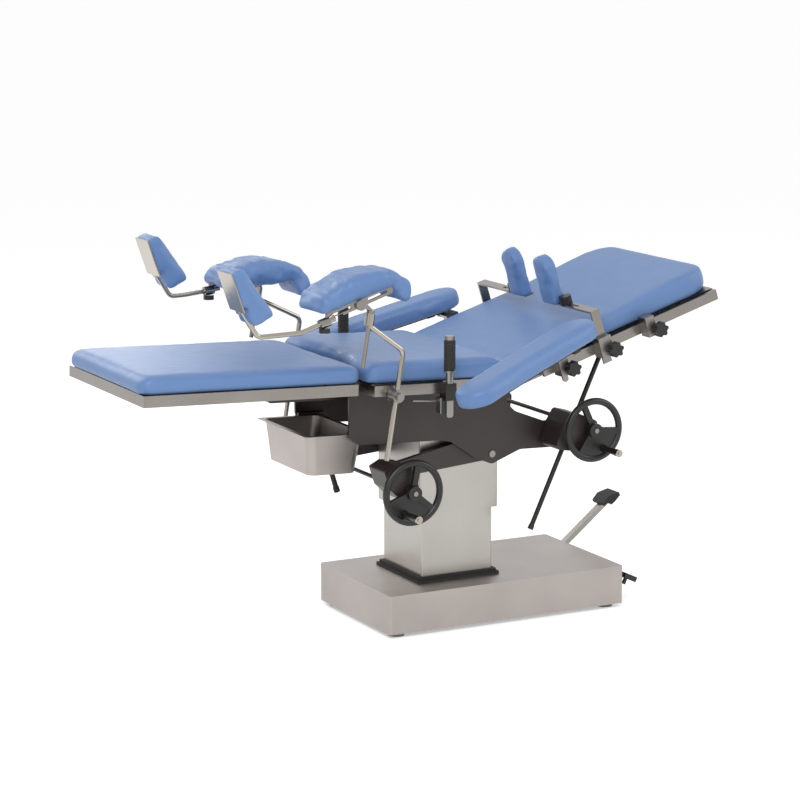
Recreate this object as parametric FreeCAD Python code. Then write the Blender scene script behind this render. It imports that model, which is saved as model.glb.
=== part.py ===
import FreeCAD, Part
import math
import os

os.makedirs("parts", exist_ok=True)

# Manual hydraulic operating table for obstetrics, in millimetres
# The origin is on the floor under the middle of the base, +X points to the head end, +Z is up

# Base
base_length = 785
base_width = 455
floor_gap = 12
base_height = 114
base_sheet = 2
base_corner = 8
chassis_inset = 8
chassis_plate = 8
chassis_rail_width = 40
chassis_rail_y = 194
chassis_rail_length = 660
chassis_rail_wall = 4
foot_radius = 24
foot_inset = 40

# Column, from the floor up
column_x = -116
gasket_length = 272
gasket_width = 270
gasket_height = 16
gasket_step = 7
cover_gap = 0.5
lower_cover_length = 235
lower_cover_width = 240
lower_cover_top = 452
upper_cover_length = 262
upper_cover_width = 260
upper_cover_bottom = 329
cover_sheet = 1.5
cover_corner = 5
guide_size = 200
guide_wall = 8
guide_top = 446
guide_flange = 22
guide_flange_thickness = 10
inner_size = 172
inner_wall = 8
inner_bottom = 160
slide_pad_gap = 0.4
slide_pad_height = 60
slide_pad_width = 90
cylinder_radius = 45
cylinder_bore = 38
cylinder_top = 330
cylinder_floor = 16
gland_height = 24
ram_radius = 30
ram_bottom = 190
piston_height = 12
ram_gap = 0.3

# Pump and pedals at the head end
pump_y = 140
pump_pivot_x = 350
pump_pivot_z = 68.5
pump_angle = 38.6
pump_bar_length = 262
pump_bar_width = 24
pump_bar_thickness = 14
pump_pin_radius = 8
pump_block_length = 110
pump_block_width = 64
pump_cheek = 14
pump_cheek_gap = 1
pin_gap = 0.05
pump_pad_length = 62
pump_pad_width = 64
pump_pad_thickness = 16
pump_pad_drop = 12
slot_margin = 5
pipe_radius = 5
pipe_height = 14
release_y = -200
release_pivot_x = 372
release_pivot_z = 108
release_angle = -25
release_length = 82
release_neck = 36
release_width = 46
release_thickness = 16
release_pin_radius = 6
release_stub_radius = 6
release_stub_length = 26
release_lug = 8

# Column head: a yoke over the covers with two lower arms
head_top = 622
head_plate = 20
cheek_inner_y = 150
cheek_thickness = 18
arm_end_x = -398
arm_end_bottom = 452
arm_end_top = 500
arm_end_round = 12
arm_top_front = (-334, 503)
arm_root_top = (-140, 542)
arm_root_round = 30
arm_root_bottom = (-62, 480)
arm_bottom = (-204, 468)
arm_bottom_round = 40
head_front = -130
head_rear = -16
head_rear_slope = (-4, 560)
head_round = 20
tilt_pivot_x = -34
tilt_pivot_z = 500
tilt_pin_radius = 10
tilt_lobe_radius = 24

# Tilt drive
tilt_shaft_x = -405
tilt_shaft_z = 463
cross_shaft_radius = 6
tilt_gearbox_near_y = -281
tilt_gearbox_far_y = -184
tilt_screw_y = 212
tilt_screw_offset = 25
tilt_screw_lean = 17
tilt_screw_radius = 8
tilt_screw_bottom = 342
tilt_ear_x = -451
tilt_ear_z = 700
nut_box_size = 62
nut_box_depth = 44
screw_eye_radius = 13
screw_eye_thickness = 16
screw_pin_radius = 6
screw_gap = 0.4

# Handwheels
wheel_radius = 95
wheel_rim_radius = 10
wheel_y = -302
wheel_hub_radius = 21
wheel_hub_length = 32
wheel_spoke_width = 17
wheel_spoke_thickness = 12
wheel_web_thickness = 7
wheel_cap_radius = 7
wheel_cap_height = 3
wheel_shaft_radius = 9
tilt_wheel_x = -358
tilt_wheel_z = 442
tilt_wheel_turn = 80
crank_reach = 64
crank_length = 86
crank_radius = 11
crank_pin_radius = 5
crank_cap_height = 3
tilt_crank_angle = 243
back_wheel_x = 236
back_wheel_z = 567
back_wheel_turn = 115
back_crank_angle = 299

# Side plates, tilt body and seat; the seat is drawn level and then tilted about the tilt pivot
rest_tilt = 2
plate_inner_y = 172
plate_thickness = 8
side_plate_front = -497
side_plate_gap = 4
side_plate_front_top = 728
side_plate_front_bottom = 568
side_plate_front_corner = 42
side_plate_belly = (-206, 556)
side_plate_step = (-170, 548)
side_plate_waist = (-92, 494)
side_plate_lobe_bottom = 470
side_plate_rise = (60, 505)
side_plate_tail_bottom = (196, 500)
side_plate_tail_top = (206, 606)
side_plate_tail_inner = (166, 610)
side_plate_hollow = (160, 574)
side_plate_neck = (42, 620)
side_plate_shoulder = (19, 642)
side_plate_rear = 12
side_plate_rear_top = 710
tail_round = 14
tail_tip_round = 10
shoulder_round = 16
edge_round = 20
belly_round = 30
rise_round = 40
back_shaft_x = 180
back_shaft_z = 592
bar_depth = 30
bar_width = 20
tube_width = 25
frame_half = 287
rail_standoff = 20
rail_half = frame_half + rail_standoff
rail_depth = 10
rail_height = 30
rail_bottom = 712
rail_spacer_radius = 8
seat_front = -489.5
seat_rear = -52
seat_rail_end = -275
deck_thickness = 2
hinge_x = -31
hinge_z = 735
hinge_radius = 6
hinge_ear_radius = 12
hinge_ear_thickness = 8
hinge_ear_y = frame_half - tube_width
pad_gap = 0.3
pad_overhang = 3
seat_pad_half = frame_half + pad_overhang
seat_pad_front = -500
seat_pad_rear = -46
seat_pad_thickness = 50
pad_corner = 26
pad_end_slope = 35
seat_crescent = 30
leg_seat_gap = 6
thin_rail_radius = 3
thin_rail_start = -361
thin_rail_front_z = 706
thin_rail_rear_z = 700
thin_rail_inset = 2

# Leg section
leg_front = -1166
leg_rear = -524
leg_half = 276
leg_pad_front = -1176
leg_pad_thickness = 42
leg_pad_corner = 34
tongue_radius = 8
tongue_y = 150
tongue_length = 100
socket_wall = 4
socket_length = 90
crossbar_spacing = 200

# Carrier beams and basin
beam_y = 100
beam_width = 30
beam_top = 711.7
beam_front = -766
beam_nose = -718
beam_drop = 37.7
beam_rear = -300
basin_front = -629
basin_rear = -424
basin_half = 165
basin_rim = 580
basin_depth = 117
basin_lip = 14
basin_taper = 14
basin_sheet = 1.5
basin_corner = 24
runner_height = 16
runner_wall = 2
runner_rear = -412

# Back section, drawn along the hinge axis with x along the back and z square to it
back_angle = 17.3
back_start = 20
back_end = 706
back_pad_start = 4
back_pad_end = 722
back_pad_thickness = 52
back_pad_corner = 84
back_rail_start = 86
back_screw_y = 235
back_screw_offset = 28
back_screw_lean = 24.9
back_screw_radius = 7
back_screw_bottom = 276
back_ear_z = 783
ear_thickness = 6
back_gearbox_near_y = 281
back_gearbox_far_y = 186

# Clamps and hand grips on the seat rails
clamp_standoff = 2
clamp_inner_y = rail_half + clamp_standoff
post_standoff = 23
post_y = rail_half + post_standoff
grip_x = -259
grip_standoff = 26
grip_y = rail_half + grip_standoff
grip_block_length = 34
grip_block_bottom = 668
grip_block_top = 752
grip_stem_width = 21
grip_stem_depth = 7
grip_stem_bottom = 655
grip_collar_top = 789
grip_handle_top = 876
grip_cap_top = 887
grip_radius = 15
grip_collar_radius = 11
grip_gap = 0.3
clamp_depth = 40

# Leg supports; each side has its own settings, as the object stands
post_radius = 7
post_foot = (-456, 550)
post_knee = (-404, 855)
post_bend = 22
post_clamp_z = 730
post_clamp_size = 36
near_barrel = (-511, 935)
far_barrel = (-546, 925)
barrel_radius = 14
barrel_height = 34
stem_radius = 6
stem_drop = 118
stem_lean = 9.3
near_hub = (-544, 1010)
far_hub = (-592, 990)
bar_length = 216
near_bar_tilt = 18.7
far_bar_tilt = 4
bar_plate_width = 24
bar_plate_thickness = 6
hub_disc_radius = 15
bar_slot_width = 8
bar_slot_length = 62
bar_slot_middle = 58
crutch_pad_width = 140
crutch_pad_shift = 62
crutch_pad_start = -124
crutch_pad_end = 158
crutch_pad_crown = 56
crutch_pad_lobe = -66
foot_rod_radius = 7
foot_block_size = 30
foot_rod_start = 34
near_rod_slope = 17
far_rod_slope = 6
foot_rod_run = 76
near_foot_knee = (-846, 927)
near_foot_top = (-896, 1004)
far_foot_knee = (-822, 949)
far_foot_top = (-862, 1016)
foot_plate_height = 112
foot_plate_width = 92
foot_plate_thickness = 4
foot_plate_lean = 19
foot_pad_top_depth = 34
foot_pad_bottom_depth = 78
foot_pad_height = 158

# Accessories on the back, in the back's own frame: along, across and square to it
arm_clamp_s = 135
shoulder_clamp_s = 283
spare_clamp_s = 442
clamp_length = 30
clamp_top = 30
clamp_wall = 7
knob_radius = 22
knob_depth = 24
knob_lobes = 6
knob_stem_radius = 5
knob_drop = -14
knob_shift = 18
tongue_width = 18
tongue_drop = -52
arm_pivot_standoff = 45
arm_pivot_y = rail_half + arm_pivot_standoff
arm_pivot_s = 150
arm_pin_radius = 8
arm_plate_bottom = 58
arm_plate_thickness = 5
arm_plate_width = 84
arm_plate_length = 462
arm_pad_bottom = 63.3
arm_pad_thickness = 46
arm_pad_width = 120
arm_pad_length = 542
near_arm_yaw = 17
far_arm_yaw = 14.5
near_arm_reach = 80
far_arm_reach = 55
arm_side_reach = 34
shoulder_bar_width = 28
shoulder_bar_thickness = 6
shoulder_arm_z = 104
shoulder_slot_length = 90
near_shoulder_y = 120
far_shoulder_y = 66
shoulder_pad_height = 142
shoulder_pad_width = 74
shoulder_pad_thickness = 34
shoulder_pad_lean = 13
shoulder_knob_gap = 58

# Helpers
Vec = FreeCAD.Vector
ORIGIN = Vec(0, 0, 0)
X_AXIS = Vec(1, 0, 0)
Y_AXIS = Vec(0, 1, 0)
Z_AXIS = Vec(0, 0, 1)


def unit(vector):
    return vector * (1 / vector.Length)


def export(name, solids):
    shape = solids[0] if len(solids) == 1 else Part.makeCompound(solids)
    shape.exportStep("parts/" + name + ".step")
    print(name, len(shape.Solids))


def block(x_span, y_span, z_span):
    corner = Vec(x_span[0], y_span[0], z_span[0])
    return Part.makeBox(x_span[1] - x_span[0], y_span[1] - y_span[0], z_span[1] - z_span[0], corner)


def middle_span(middle, size):
    return (middle - size / 2, middle + size / 2)


def cylinder(start, end, radius):
    along = end.sub(start)
    return Part.makeCylinder(radius, along.Length, start, along)


def y_cylinder(x, z, y_span, radius):
    return cylinder(Vec(x, y_span[0], z), Vec(x, y_span[1], z), radius)


def ring(start, end, outer, inner):
    return cylinder(start, end, outer).cut(cylinder(start, end, inner))


def corner_path(points, radii, closed):
    # Straight runs between the points, joined by tangent arcs of the given radii
    count = len(points)
    marks = []
    for index, corner in enumerate(points):
        is_end = not closed and index in (0, count - 1)
        if is_end or radii[index] == 0:
            marks.append((corner, None, corner))
            continue
        before = unit(points[index - 1] - corner)
        after = unit(points[(index + 1) % count] - corner)
        half = before.getAngle(after) / 2
        trim = radii[index] / math.tan(half)
        reach = radii[index] / math.sin(half) - radii[index]
        marks.append((corner + before * trim, corner + unit(before + after) * reach, corner + after * trim))
    edges = []
    for index in range(count):
        enter, middle, leave = marks[index]
        if middle is not None:
            edges.append(Part.Arc(enter, middle, leave).toShape())
        if closed or index < count - 1:
            following = marks[(index + 1) % count][0]
            if leave.distanceToPoint(following) > 0.001:
                edges.append(Part.makeLine(leave, following))
    return Part.Wire(edges)


def xz_plate(corners, y_span):
    # Plate in the XZ plane; each corner is x, z and its radius
    points = [Vec(x, y_span[0], z) for x, z, _ in corners]
    face = Part.Face(corner_path(points, [radius for _, _, radius in corners], True))
    return face.extrude(Vec(0, y_span[1] - y_span[0], 0))


def xy_plate(corners, z_span):
    # Plate in the XY plane; each corner is x, y and its radius
    points = [Vec(x, y, z_span[0]) for x, y, _ in corners]
    face = Part.Face(corner_path(points, [radius for _, _, radius in corners], True))
    return face.extrude(Vec(0, 0, z_span[1] - z_span[0]))


def rounded_block(x_span, y_span, z_span, radius):
    # Block with its four upright edges rounded
    corners = [(x_span[0], y_span[0], radius), (x_span[1], y_span[0], radius)]
    corners += [(x_span[1], y_span[1], radius), (x_span[0], y_span[1], radius)]
    return xy_plate(corners, z_span)


def bent_rod(points, bend, radius):
    # Round rod along straight runs with equal bends
    path = corner_path(points, [bend] * len(points), False)
    section = Part.Wire([Part.makeCircle(radius, points[0], points[1] - points[0])])
    return path.makePipeShell([section], True, True)


def mirrored(shape):
    return shape.mirror(ORIGIN, Y_AXIS)


def square_tube(size_x, size_y, wall, corner, z_span):
    outer = rounded_block(middle_span(column_x, size_x), middle_span(0, size_y), z_span, corner)
    hollow = rounded_block(middle_span(column_x, size_x - 2 * wall), middle_span(0, size_y - 2 * wall),
                           z_span, max(corner - wall, 1))
    return outer.cut(hollow)


# Base
base_top = floor_gap + base_height
base_half_x = base_length / 2
base_half_y = base_width / 2
plate_top = floor_gap + chassis_plate
cover_underside = base_top - base_sheet


def lever_height(distance):
    # Height of the pump bar's centre line at a distance from its pivot
    return pump_pivot_z + distance * math.tan(math.radians(pump_angle))


def make_base_cover():
    outer = rounded_block((-base_half_x, base_half_x), (-base_half_y, base_half_y), (floor_gap, base_top), base_corner)
    hollow = rounded_block((-base_half_x + base_sheet, base_half_x - base_sheet),
                           (-base_half_y + base_sheet, base_half_y - base_sheet),
                           (floor_gap, cover_underside), base_corner - base_sheet)
    cover = outer.cut(hollow)
    hole = middle_span(0, guide_size + 2 * slot_margin)
    cover = cover.cut(block((column_x + hole[0], column_x + hole[1]), hole, (cover_underside, base_top)))
    wall = (base_half_x - 2 * base_sheet, base_half_x + base_sheet)
    pump_slot = middle_span(pump_y, pump_bar_width + 2 * slot_margin)
    at_wall = base_half_x - pump_pivot_x
    slot_top = lever_height(at_wall) + pump_bar_thickness + slot_margin
    cover = cover.cut(block(wall, pump_slot, (floor_gap + 3 * base_corner, slot_top)))
    release_slot = middle_span(release_y, release_width / 2 + 2 * slot_margin)
    slot_middle = release_pivot_z + (base_half_x - release_pivot_x) * math.tan(math.radians(release_angle))
    return cover.cut(block(wall, release_slot, middle_span(slot_middle, 2 * release_thickness + slot_margin)))


def make_base_chassis():
    inner_x = base_half_x - chassis_inset
    inner_y = base_half_y - chassis_inset
    plate = block((-inner_x, inner_x), (-inner_y, inner_y), (floor_gap, plate_top))
    solids = [plate]
    for side in (-1, 1):
        rail_x = middle_span(0, chassis_rail_length)
        rail = block(rail_x, middle_span(side * chassis_rail_y, chassis_rail_width), (plate_top, cover_underside))
        inside = chassis_rail_width - 2 * chassis_rail_wall
        bore = block(rail_x, middle_span(side * chassis_rail_y, inside),
                     (plate_top + chassis_rail_wall, cover_underside - chassis_rail_wall))
        solids.append(rail.cut(bore))
    chassis = solids[0].fuse(solids[1:])
    lug_x = middle_span(release_pivot_x, 3 * release_pin_radius)
    lug_top = release_pivot_z + 2 * release_pin_radius
    for side in (-1, 1):
        inner = release_y + side * (release_width / 4 + pump_cheek_gap)
        lug_y = sorted((inner, inner + side * release_lug))
        lug = block(lug_x, lug_y, (plate_top, lug_top))
        chassis = chassis.fuse(lug)
    pin_span = (release_y - release_width, release_y + release_width)
    return chassis.cut(y_cylinder(release_pivot_x, release_pivot_z, pin_span, release_pin_radius + pin_gap))


def make_floor_feet():
    feet = []
    for x_side in (-1, 1):
        for y_side in (-1, 1):
            x = x_side * (base_half_x - foot_inset)
            y = y_side * (base_half_y - foot_inset)
            feet.append(cylinder(Vec(x, y, 0), Vec(x, y, floor_gap), foot_radius))
    return feet


# Column
def make_gasket():
    opening = rounded_block(middle_span(column_x, lower_cover_length + 2 * cover_gap),
                            middle_span(0, lower_cover_width + 2 * cover_gap),
                            (base_top, base_top + gasket_height), cover_corner)
    lower = rounded_block(middle_span(column_x, gasket_length), middle_span(0, gasket_width),
                          (base_top, base_top + gasket_height / 2), cover_corner)
    upper = rounded_block(middle_span(column_x, gasket_length - 2 * gasket_step),
                          middle_span(0, gasket_width - 2 * gasket_step),
                          (base_top + gasket_height / 2, base_top + gasket_height), cover_corner)
    return lower.fuse(upper).cut(opening)


def make_lower_cover():
    return square_tube(lower_cover_length, lower_cover_width, cover_sheet, cover_corner, (base_top, lower_cover_top))


def make_upper_cover():
    return square_tube(upper_cover_length, upper_cover_width, cover_sheet, cover_corner,
                       (upper_cover_bottom, head_top - head_plate))


def make_column_tube():
    tube = square_tube(guide_size, guide_size, guide_wall, guide_wall, (plate_top, guide_top))
    flange = square_tube(guide_size + 2 * guide_flange, guide_size + 2 * guide_flange, guide_flange + guide_wall,
                         guide_wall, (plate_top, plate_top + guide_flange_thickness))
    pipe_hole = cylinder(Vec(column_x, 0, plate_top + pipe_height), Vec(column_x + guide_size, 0, plate_top + pipe_height),
                         pipe_radius + slot_margin)
    tube = tube.fuse(flange).cut(pipe_hole)
    pads = []
    face = guide_size / 2 - guide_wall
    reach = inner_size / 2 + slide_pad_gap
    span = middle_span(0, slide_pad_width)
    height = (guide_top - slide_pad_height, guide_top)
    for side in (-1, 1):
        across = sorted((side * reach, side * face))
        pads.append(block((column_x + across[0], column_x + across[1]), span, height))
        pads.append(block((column_x + span[0], column_x + span[1]), across, height))
    return [tube] + pads


def make_hydraulic_cylinder():
    barrel = cylinder(Vec(column_x, 0, plate_top), Vec(column_x, 0, cylinder_top), cylinder_radius)
    bore = cylinder(Vec(column_x, 0, plate_top + cylinder_floor), Vec(column_x, 0, cylinder_top - gland_height),
                    cylinder_bore)
    gland = cylinder(Vec(column_x, 0, plate_top + cylinder_floor), Vec(column_x, 0, cylinder_top),
                     ram_radius + ram_gap)
    pipe_z = plate_top + pipe_height
    block_end = pump_pivot_x - pump_block_length
    route = [Vec(column_x + cylinder_bore + ram_gap, 0, pipe_z), Vec(block_end / 2, 0, pipe_z),
             Vec(block_end / 2 + pump_block_width, pump_y, pipe_z), Vec(block_end + pipe_radius, pump_y, pipe_z)]
    pipe = bent_rod(route, pipe_radius * 6, pipe_radius)
    body_y = middle_span(pump_y, pump_block_width)
    pump = block((block_end, pump_pivot_x + pump_cheek), body_y, (plate_top, pump_pivot_z + pump_cheek))
    throat_y = middle_span(pump_y, pump_bar_width + 2 * pump_cheek_gap)
    throat = block((block_end + pump_block_length / 2, base_half_x), throat_y, (plate_top + cylinder_floor, base_top))
    pump = pump.cut(throat)
    pump = pump.cut(y_cylinder(pump_pivot_x, pump_pivot_z, body_y, pump_pin_radius + pin_gap))
    return barrel.cut(bore).cut(gland).fuse([pipe, pump])


def make_inner_tube():
    return square_tube(inner_size, inner_size, inner_wall, inner_wall, (inner_bottom, head_top - head_plate))


def make_ram():
    rod = cylinder(Vec(column_x, 0, ram_bottom), Vec(column_x, 0, head_top - head_plate), ram_radius)
    piston = cylinder(Vec(column_x, 0, ram_bottom), Vec(column_x, 0, ram_bottom + piston_height), cylinder_bore - ram_gap)
    return rod.fuse(piston)


# Pedals
def turned(shape, x, z, angle_up):
    # Turns a shape drawn along +X so that it points up by the angle, about x, z
    return shape.rotate(Vec(x, 0, z), Y_AXIS, -angle_up)


def make_pump_lever():
    start = pump_pivot_x
    height = middle_span(pump_pivot_z, pump_bar_thickness)
    bar = block((start, start + pump_bar_length), middle_span(pump_y, pump_bar_width), height)
    eye = y_cylinder(start, pump_pivot_z, middle_span(pump_y, pump_bar_width), pump_bar_thickness)
    pin = y_cylinder(start, pump_pivot_z, middle_span(pump_y, pump_block_width), pump_pin_radius)
    lever = bar.fuse([eye, pin])
    return turned(lever, pump_pivot_x, pump_pivot_z, pump_angle)


def make_pump_pad():
    # Wedge tread on the lever's end, flatter than the bar, with a nose in front of the bar's tip
    tip = pump_pivot_x + pump_bar_length
    low = pump_pivot_z - pump_bar_thickness / 2
    base = pump_pivot_z + pump_bar_thickness / 2
    thick = pump_pad_thickness
    toe = tip + pump_pad_length * 2 / 3
    corners = [(tip - pump_pad_length / 3, base + grip_gap, 0), (tip + grip_gap, base + grip_gap, 0),
               (tip + grip_gap, low, 0), (tip + thick, low - 1, 3), (toe, base - pump_pad_drop, 4),
               (toe + 4, base - pump_pad_drop + thick * 2 / 3, 4), (tip + thick / 2, base + thick, 6),
               (tip - pump_pad_length / 3, base + thick * 2 / 3, 2)]
    pad = xz_plate(corners, middle_span(pump_y, pump_pad_width))
    return turned(pad, pump_pivot_x, pump_pivot_z, pump_angle)


def make_release_pedal():
    start = release_pivot_x
    height = middle_span(release_pivot_z, release_thickness)
    neck = block((start, start + release_length / 2), middle_span(release_y, release_width / 2), height)
    tread = rounded_block((start + release_neck, start + release_length), middle_span(release_y, release_width),
                          height, release_thickness / 2)
    eye = y_cylinder(start, release_pivot_z, middle_span(release_y, release_width / 2), release_thickness / 2)
    lugs = release_width / 2 + 2 * (release_lug + pump_cheek_gap)
    pin = y_cylinder(start, release_pivot_z, middle_span(release_y, lugs), release_pin_radius)
    stub_x = start + release_length * 2 / 3
    stub = cylinder(Vec(stub_x, release_y, release_pivot_z), Vec(stub_x, release_y, release_pivot_z - release_stub_length),
                    release_stub_radius)
    pedal = neck.fuse([tread, eye, pin, stub])
    return turned(pedal, release_pivot_x, release_pivot_z, release_angle)


# Column head
def make_column_head():
    cheek_outer_y = cheek_inner_y + cheek_thickness
    lobe = tilt_lobe_radius
    corners = [(arm_end_x, arm_end_bottom, arm_end_round), (arm_end_x, arm_end_top, arm_end_round), (*arm_top_front, 0),
               (*arm_root_top, arm_root_round), (head_front, head_top, 0), (head_rear, head_top, 0),
               (*head_rear_slope, head_round), (tilt_pivot_x + lobe, tilt_pivot_z, 0),
               (tilt_pivot_x + lobe, tilt_pivot_z - lobe, lobe - 2), (*arm_root_bottom, head_round),
               (*arm_bottom, arm_bottom_round)]
    cheek = xz_plate(corners, (cheek_inner_y, cheek_outer_y))
    cheek = cheek.cut(y_cylinder(tilt_pivot_x, tilt_pivot_z, (cheek_inner_y, cheek_outer_y), tilt_pin_radius + pin_gap))
    cheek = cheek.cut(y_cylinder(tilt_shaft_x, tilt_shaft_z, (cheek_inner_y, cheek_outer_y), cross_shaft_radius + pin_gap))
    plate = block((column_x - upper_cover_length / 2 + cover_corner, head_rear), (-cheek_outer_y, cheek_outer_y),
                  (head_top - head_plate, head_top))
    return cheek.fuse([mirrored(cheek), plate])


def make_tilt_gearbox():
    # Angular casting outside the near arm, with the bearing of the handwheel
    y_span = (tilt_gearbox_near_y, tilt_gearbox_far_y)
    corners = [(-438, 506, 6), (-406, 522, 8), (-356, 516, 14), (-326, 452, 20), (-340, 420, 18), (-384, 418, 14),
               (-420, 452, 10)]
    casting = xz_plate(corners, y_span)
    foot = block((-396, -330), (tilt_gearbox_far_y, -(cheek_inner_y + cheek_thickness)), (458, 498))
    boss = y_cylinder(tilt_wheel_x, tilt_wheel_z, (wheel_y + wheel_hub_length / 2 + 1, tilt_gearbox_near_y),
                      wheel_shaft_radius * 2)
    casting = casting.fuse([foot, boss])
    casting = casting.cut(y_cylinder(tilt_wheel_x, tilt_wheel_z, (wheel_y, tilt_gearbox_far_y - cheek_thickness),
                                     wheel_shaft_radius + pin_gap))
    shaft_bore = y_cylinder(tilt_shaft_x, tilt_shaft_z, (tilt_gearbox_near_y + cheek_thickness, tilt_gearbox_far_y),
                            cross_shaft_radius + pin_gap)
    return casting.cut(shaft_bore)



# Handwheels with three spokes, one filled third and a turning crank handle
def wheel_point(x, z, angle, reach):
    return x + reach * math.cos(math.radians(angle)), z + reach * math.sin(math.radians(angle))


def make_handwheel(x, z, turn, crank_angle, shaft_far_y):
    centre = Vec(x, wheel_y, z)
    rim_middle = wheel_radius - wheel_rim_radius
    rim = Part.makeTorus(rim_middle, wheel_rim_radius, centre, Y_AXIS)
    hub = y_cylinder(x, z, middle_span(wheel_y, wheel_hub_length), wheel_hub_radius)
    cap_y = wheel_y - wheel_hub_length / 2
    cap = y_cylinder(x, z, (cap_y - wheel_cap_height, cap_y), wheel_cap_radius)
    shaft = y_cylinder(x, z, (wheel_y, shaft_far_y), wheel_shaft_radius)
    pieces = [hub, cap, shaft]
    for third in range(3):
        spoke = block((x, x + rim_middle), middle_span(wheel_y, wheel_spoke_thickness), middle_span(z, wheel_spoke_width))
        pieces.append(spoke.rotate(centre, Y_AXIS, -(turn + third * 120)))
    fan = [(x, z, 0)]
    for step in (120, 180, 240):
        fan_x, fan_z = wheel_point(x, z, turn + step, 2 * wheel_radius)
        fan.append((fan_x, fan_z, 0))
    web_span = middle_span(wheel_y, wheel_web_thickness)
    web = xz_plate(fan, web_span).common(y_cylinder(x, z, web_span, rim_middle))
    crank_x, crank_z = wheel_point(x, z, crank_angle, crank_reach)
    boss_span = middle_span(wheel_y, wheel_spoke_thickness)
    boss = y_cylinder(crank_x, crank_z, boss_span, crank_radius)
    bore = y_cylinder(crank_x, crank_z, (wheel_y - wheel_radius, wheel_y + wheel_radius), crank_pin_radius + pin_gap)
    return rim.fuse(pieces + [web, boss]).cut(bore)


def make_crank(x, z, crank_angle):
    crank_x, crank_z = wheel_point(x, z, crank_angle, crank_reach)
    foot = wheel_y - wheel_spoke_thickness / 2 - screw_gap
    tip = foot - crank_length
    waist = Vec(crank_x, foot - crank_length / 4, crank_z)
    grip = Part.makeCone(crank_radius, crank_radius * 3 / 4, crank_length / 4, Vec(crank_x, foot, crank_z), Vec(0, -1, 0))
    swell = Part.makeCone(crank_radius * 3 / 4, crank_radius, crank_length * 3 / 4, waist, Vec(0, -1, 0))
    cap = y_cylinder(crank_x, crank_z, (tip - crank_cap_height, tip), crank_pin_radius)
    pin = y_cylinder(crank_x, crank_z, (foot, wheel_y + wheel_spoke_thickness), crank_pin_radius)
    head_y = wheel_y + wheel_spoke_thickness / 2 + screw_gap
    head = y_cylinder(crank_x, crank_z, (head_y, wheel_y + wheel_spoke_thickness), crank_pin_radius * 3 / 2)
    return grip.fuse([swell, cap, pin, head])


# Tilt drive behind the near arm and on the far side
def make_tilt_cross_shaft():
    near = tilt_gearbox_near_y + cheek_thickness + 1
    return y_cylinder(tilt_shaft_x, tilt_shaft_z, (near, tilt_screw_y + nut_box_depth / 2 + cross_shaft_radius),
                      cross_shaft_radius)


class Screw:
    # A lead screw that passes a swivel axis at an offset and leans by an angle toward +X
    def __init__(self, axis_x, axis_z, offset, lean, bottom, top):
        turn = math.radians(lean)
        self.way = Vec(math.sin(turn), 0, math.cos(turn))
        side = 1 if offset > 0 else -1
        self.foot = Vec(axis_x + offset * math.cos(turn), 0, axis_z - side * abs(offset) * math.sin(turn))
        self.low = self.foot + self.way * ((bottom - self.foot.z) / self.way.z)
        self.high = self.foot + self.way * ((top - self.foot.z) / self.way.z)


tilt_line = Screw(tilt_shaft_x, tilt_shaft_z, tilt_screw_offset, -tilt_screw_lean, tilt_screw_bottom, tilt_ear_z)
back_line = Screw(back_shaft_x, back_shaft_z, back_screw_offset, back_screw_lean, back_screw_bottom, back_ear_z)


def make_screw(line, y, radius):
    shift = Vec(0, y, 0)
    eye_span = middle_span(y, screw_eye_thickness)
    rod = cylinder(line.low + shift, line.high + shift, radius)
    end = cylinder(line.low + shift, line.low + shift + line.way * radius * 2, radius * 1.2)
    eye = y_cylinder(line.high.x, line.high.z, eye_span, screw_eye_radius)
    bore = y_cylinder(line.high.x, line.high.z, eye_span, screw_pin_radius + screw_gap)
    return rod.fuse([end, eye]).cut(bore)


def make_tilt_nut_box():
    span = middle_span(tilt_screw_y, nut_box_depth)
    half = nut_box_size / 2
    box = block(middle_span(tilt_line.foot.x, nut_box_size), span, middle_span(tilt_line.foot.z, nut_box_size))
    box = box.makeFillet(half / 4, [edge for edge in box.Edges if abs(edge.tangentAt(0).y) > 0.9])
    box = box.rotate(Vec(tilt_line.foot.x, 0, tilt_line.foot.z), Y_AXIS, -tilt_screw_lean)
    hub = y_cylinder(tilt_shaft_x, tilt_shaft_z, span, cross_shaft_radius * 3)
    box = box.fuse(hub)
    box = box.cut(y_cylinder(tilt_shaft_x, tilt_shaft_z, span, cross_shaft_radius + pin_gap))
    shift = Vec(0, tilt_screw_y, 0)
    reach = tilt_line.way * nut_box_size
    bore = cylinder(tilt_line.foot + shift - reach, tilt_line.foot + shift + reach, tilt_screw_radius + screw_gap)
    return box.cut(bore)


def make_ear(x, z, hang_x, hang_z, y, side_gap):
    # Two ear plates beside a screw's eye, with the heads of its pin on their outer faces
    plates = []
    for side in (-1, 1):
        inner = y + side * (screw_eye_thickness / 2 + side_gap)
        outer = inner + side * ear_thickness
        span = (min(inner, outer), max(inner, outer))
        radius = screw_eye_radius
        lobe = y_cylinder(x, z, span, radius)
        corners = [(x - radius, z, 0), (hang_x[0], hang_z, 0), (hang_x[1], hang_z, 0), (x + radius, z, 0)]
        plate = xz_plate(corners, span).fuse(lobe)
        head_y = (outer, outer + side * ear_thickness / 2)
        head = y_cylinder(x, z, (min(head_y), max(head_y)), screw_pin_radius)
        plates.append(plate.fuse(head))
    return plates


# Tilt body
def tilted(shape):
    return shape.rotate(Vec(tilt_pivot_x, 0, tilt_pivot_z), Y_AXIS, rest_tilt)


def make_tilt_shaft():
    plate_outer = plate_inner_y + plate_thickness
    stub = y_cylinder(tilt_pivot_x, tilt_pivot_z, (cheek_inner_y, plate_outer), tilt_pin_radius)
    cap = y_cylinder(tilt_pivot_x, tilt_pivot_z, (plate_outer, plate_outer + wheel_cap_height), tilt_pin_radius)
    pin = stub.fuse(cap)
    return [pin, mirrored(pin)]


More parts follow.
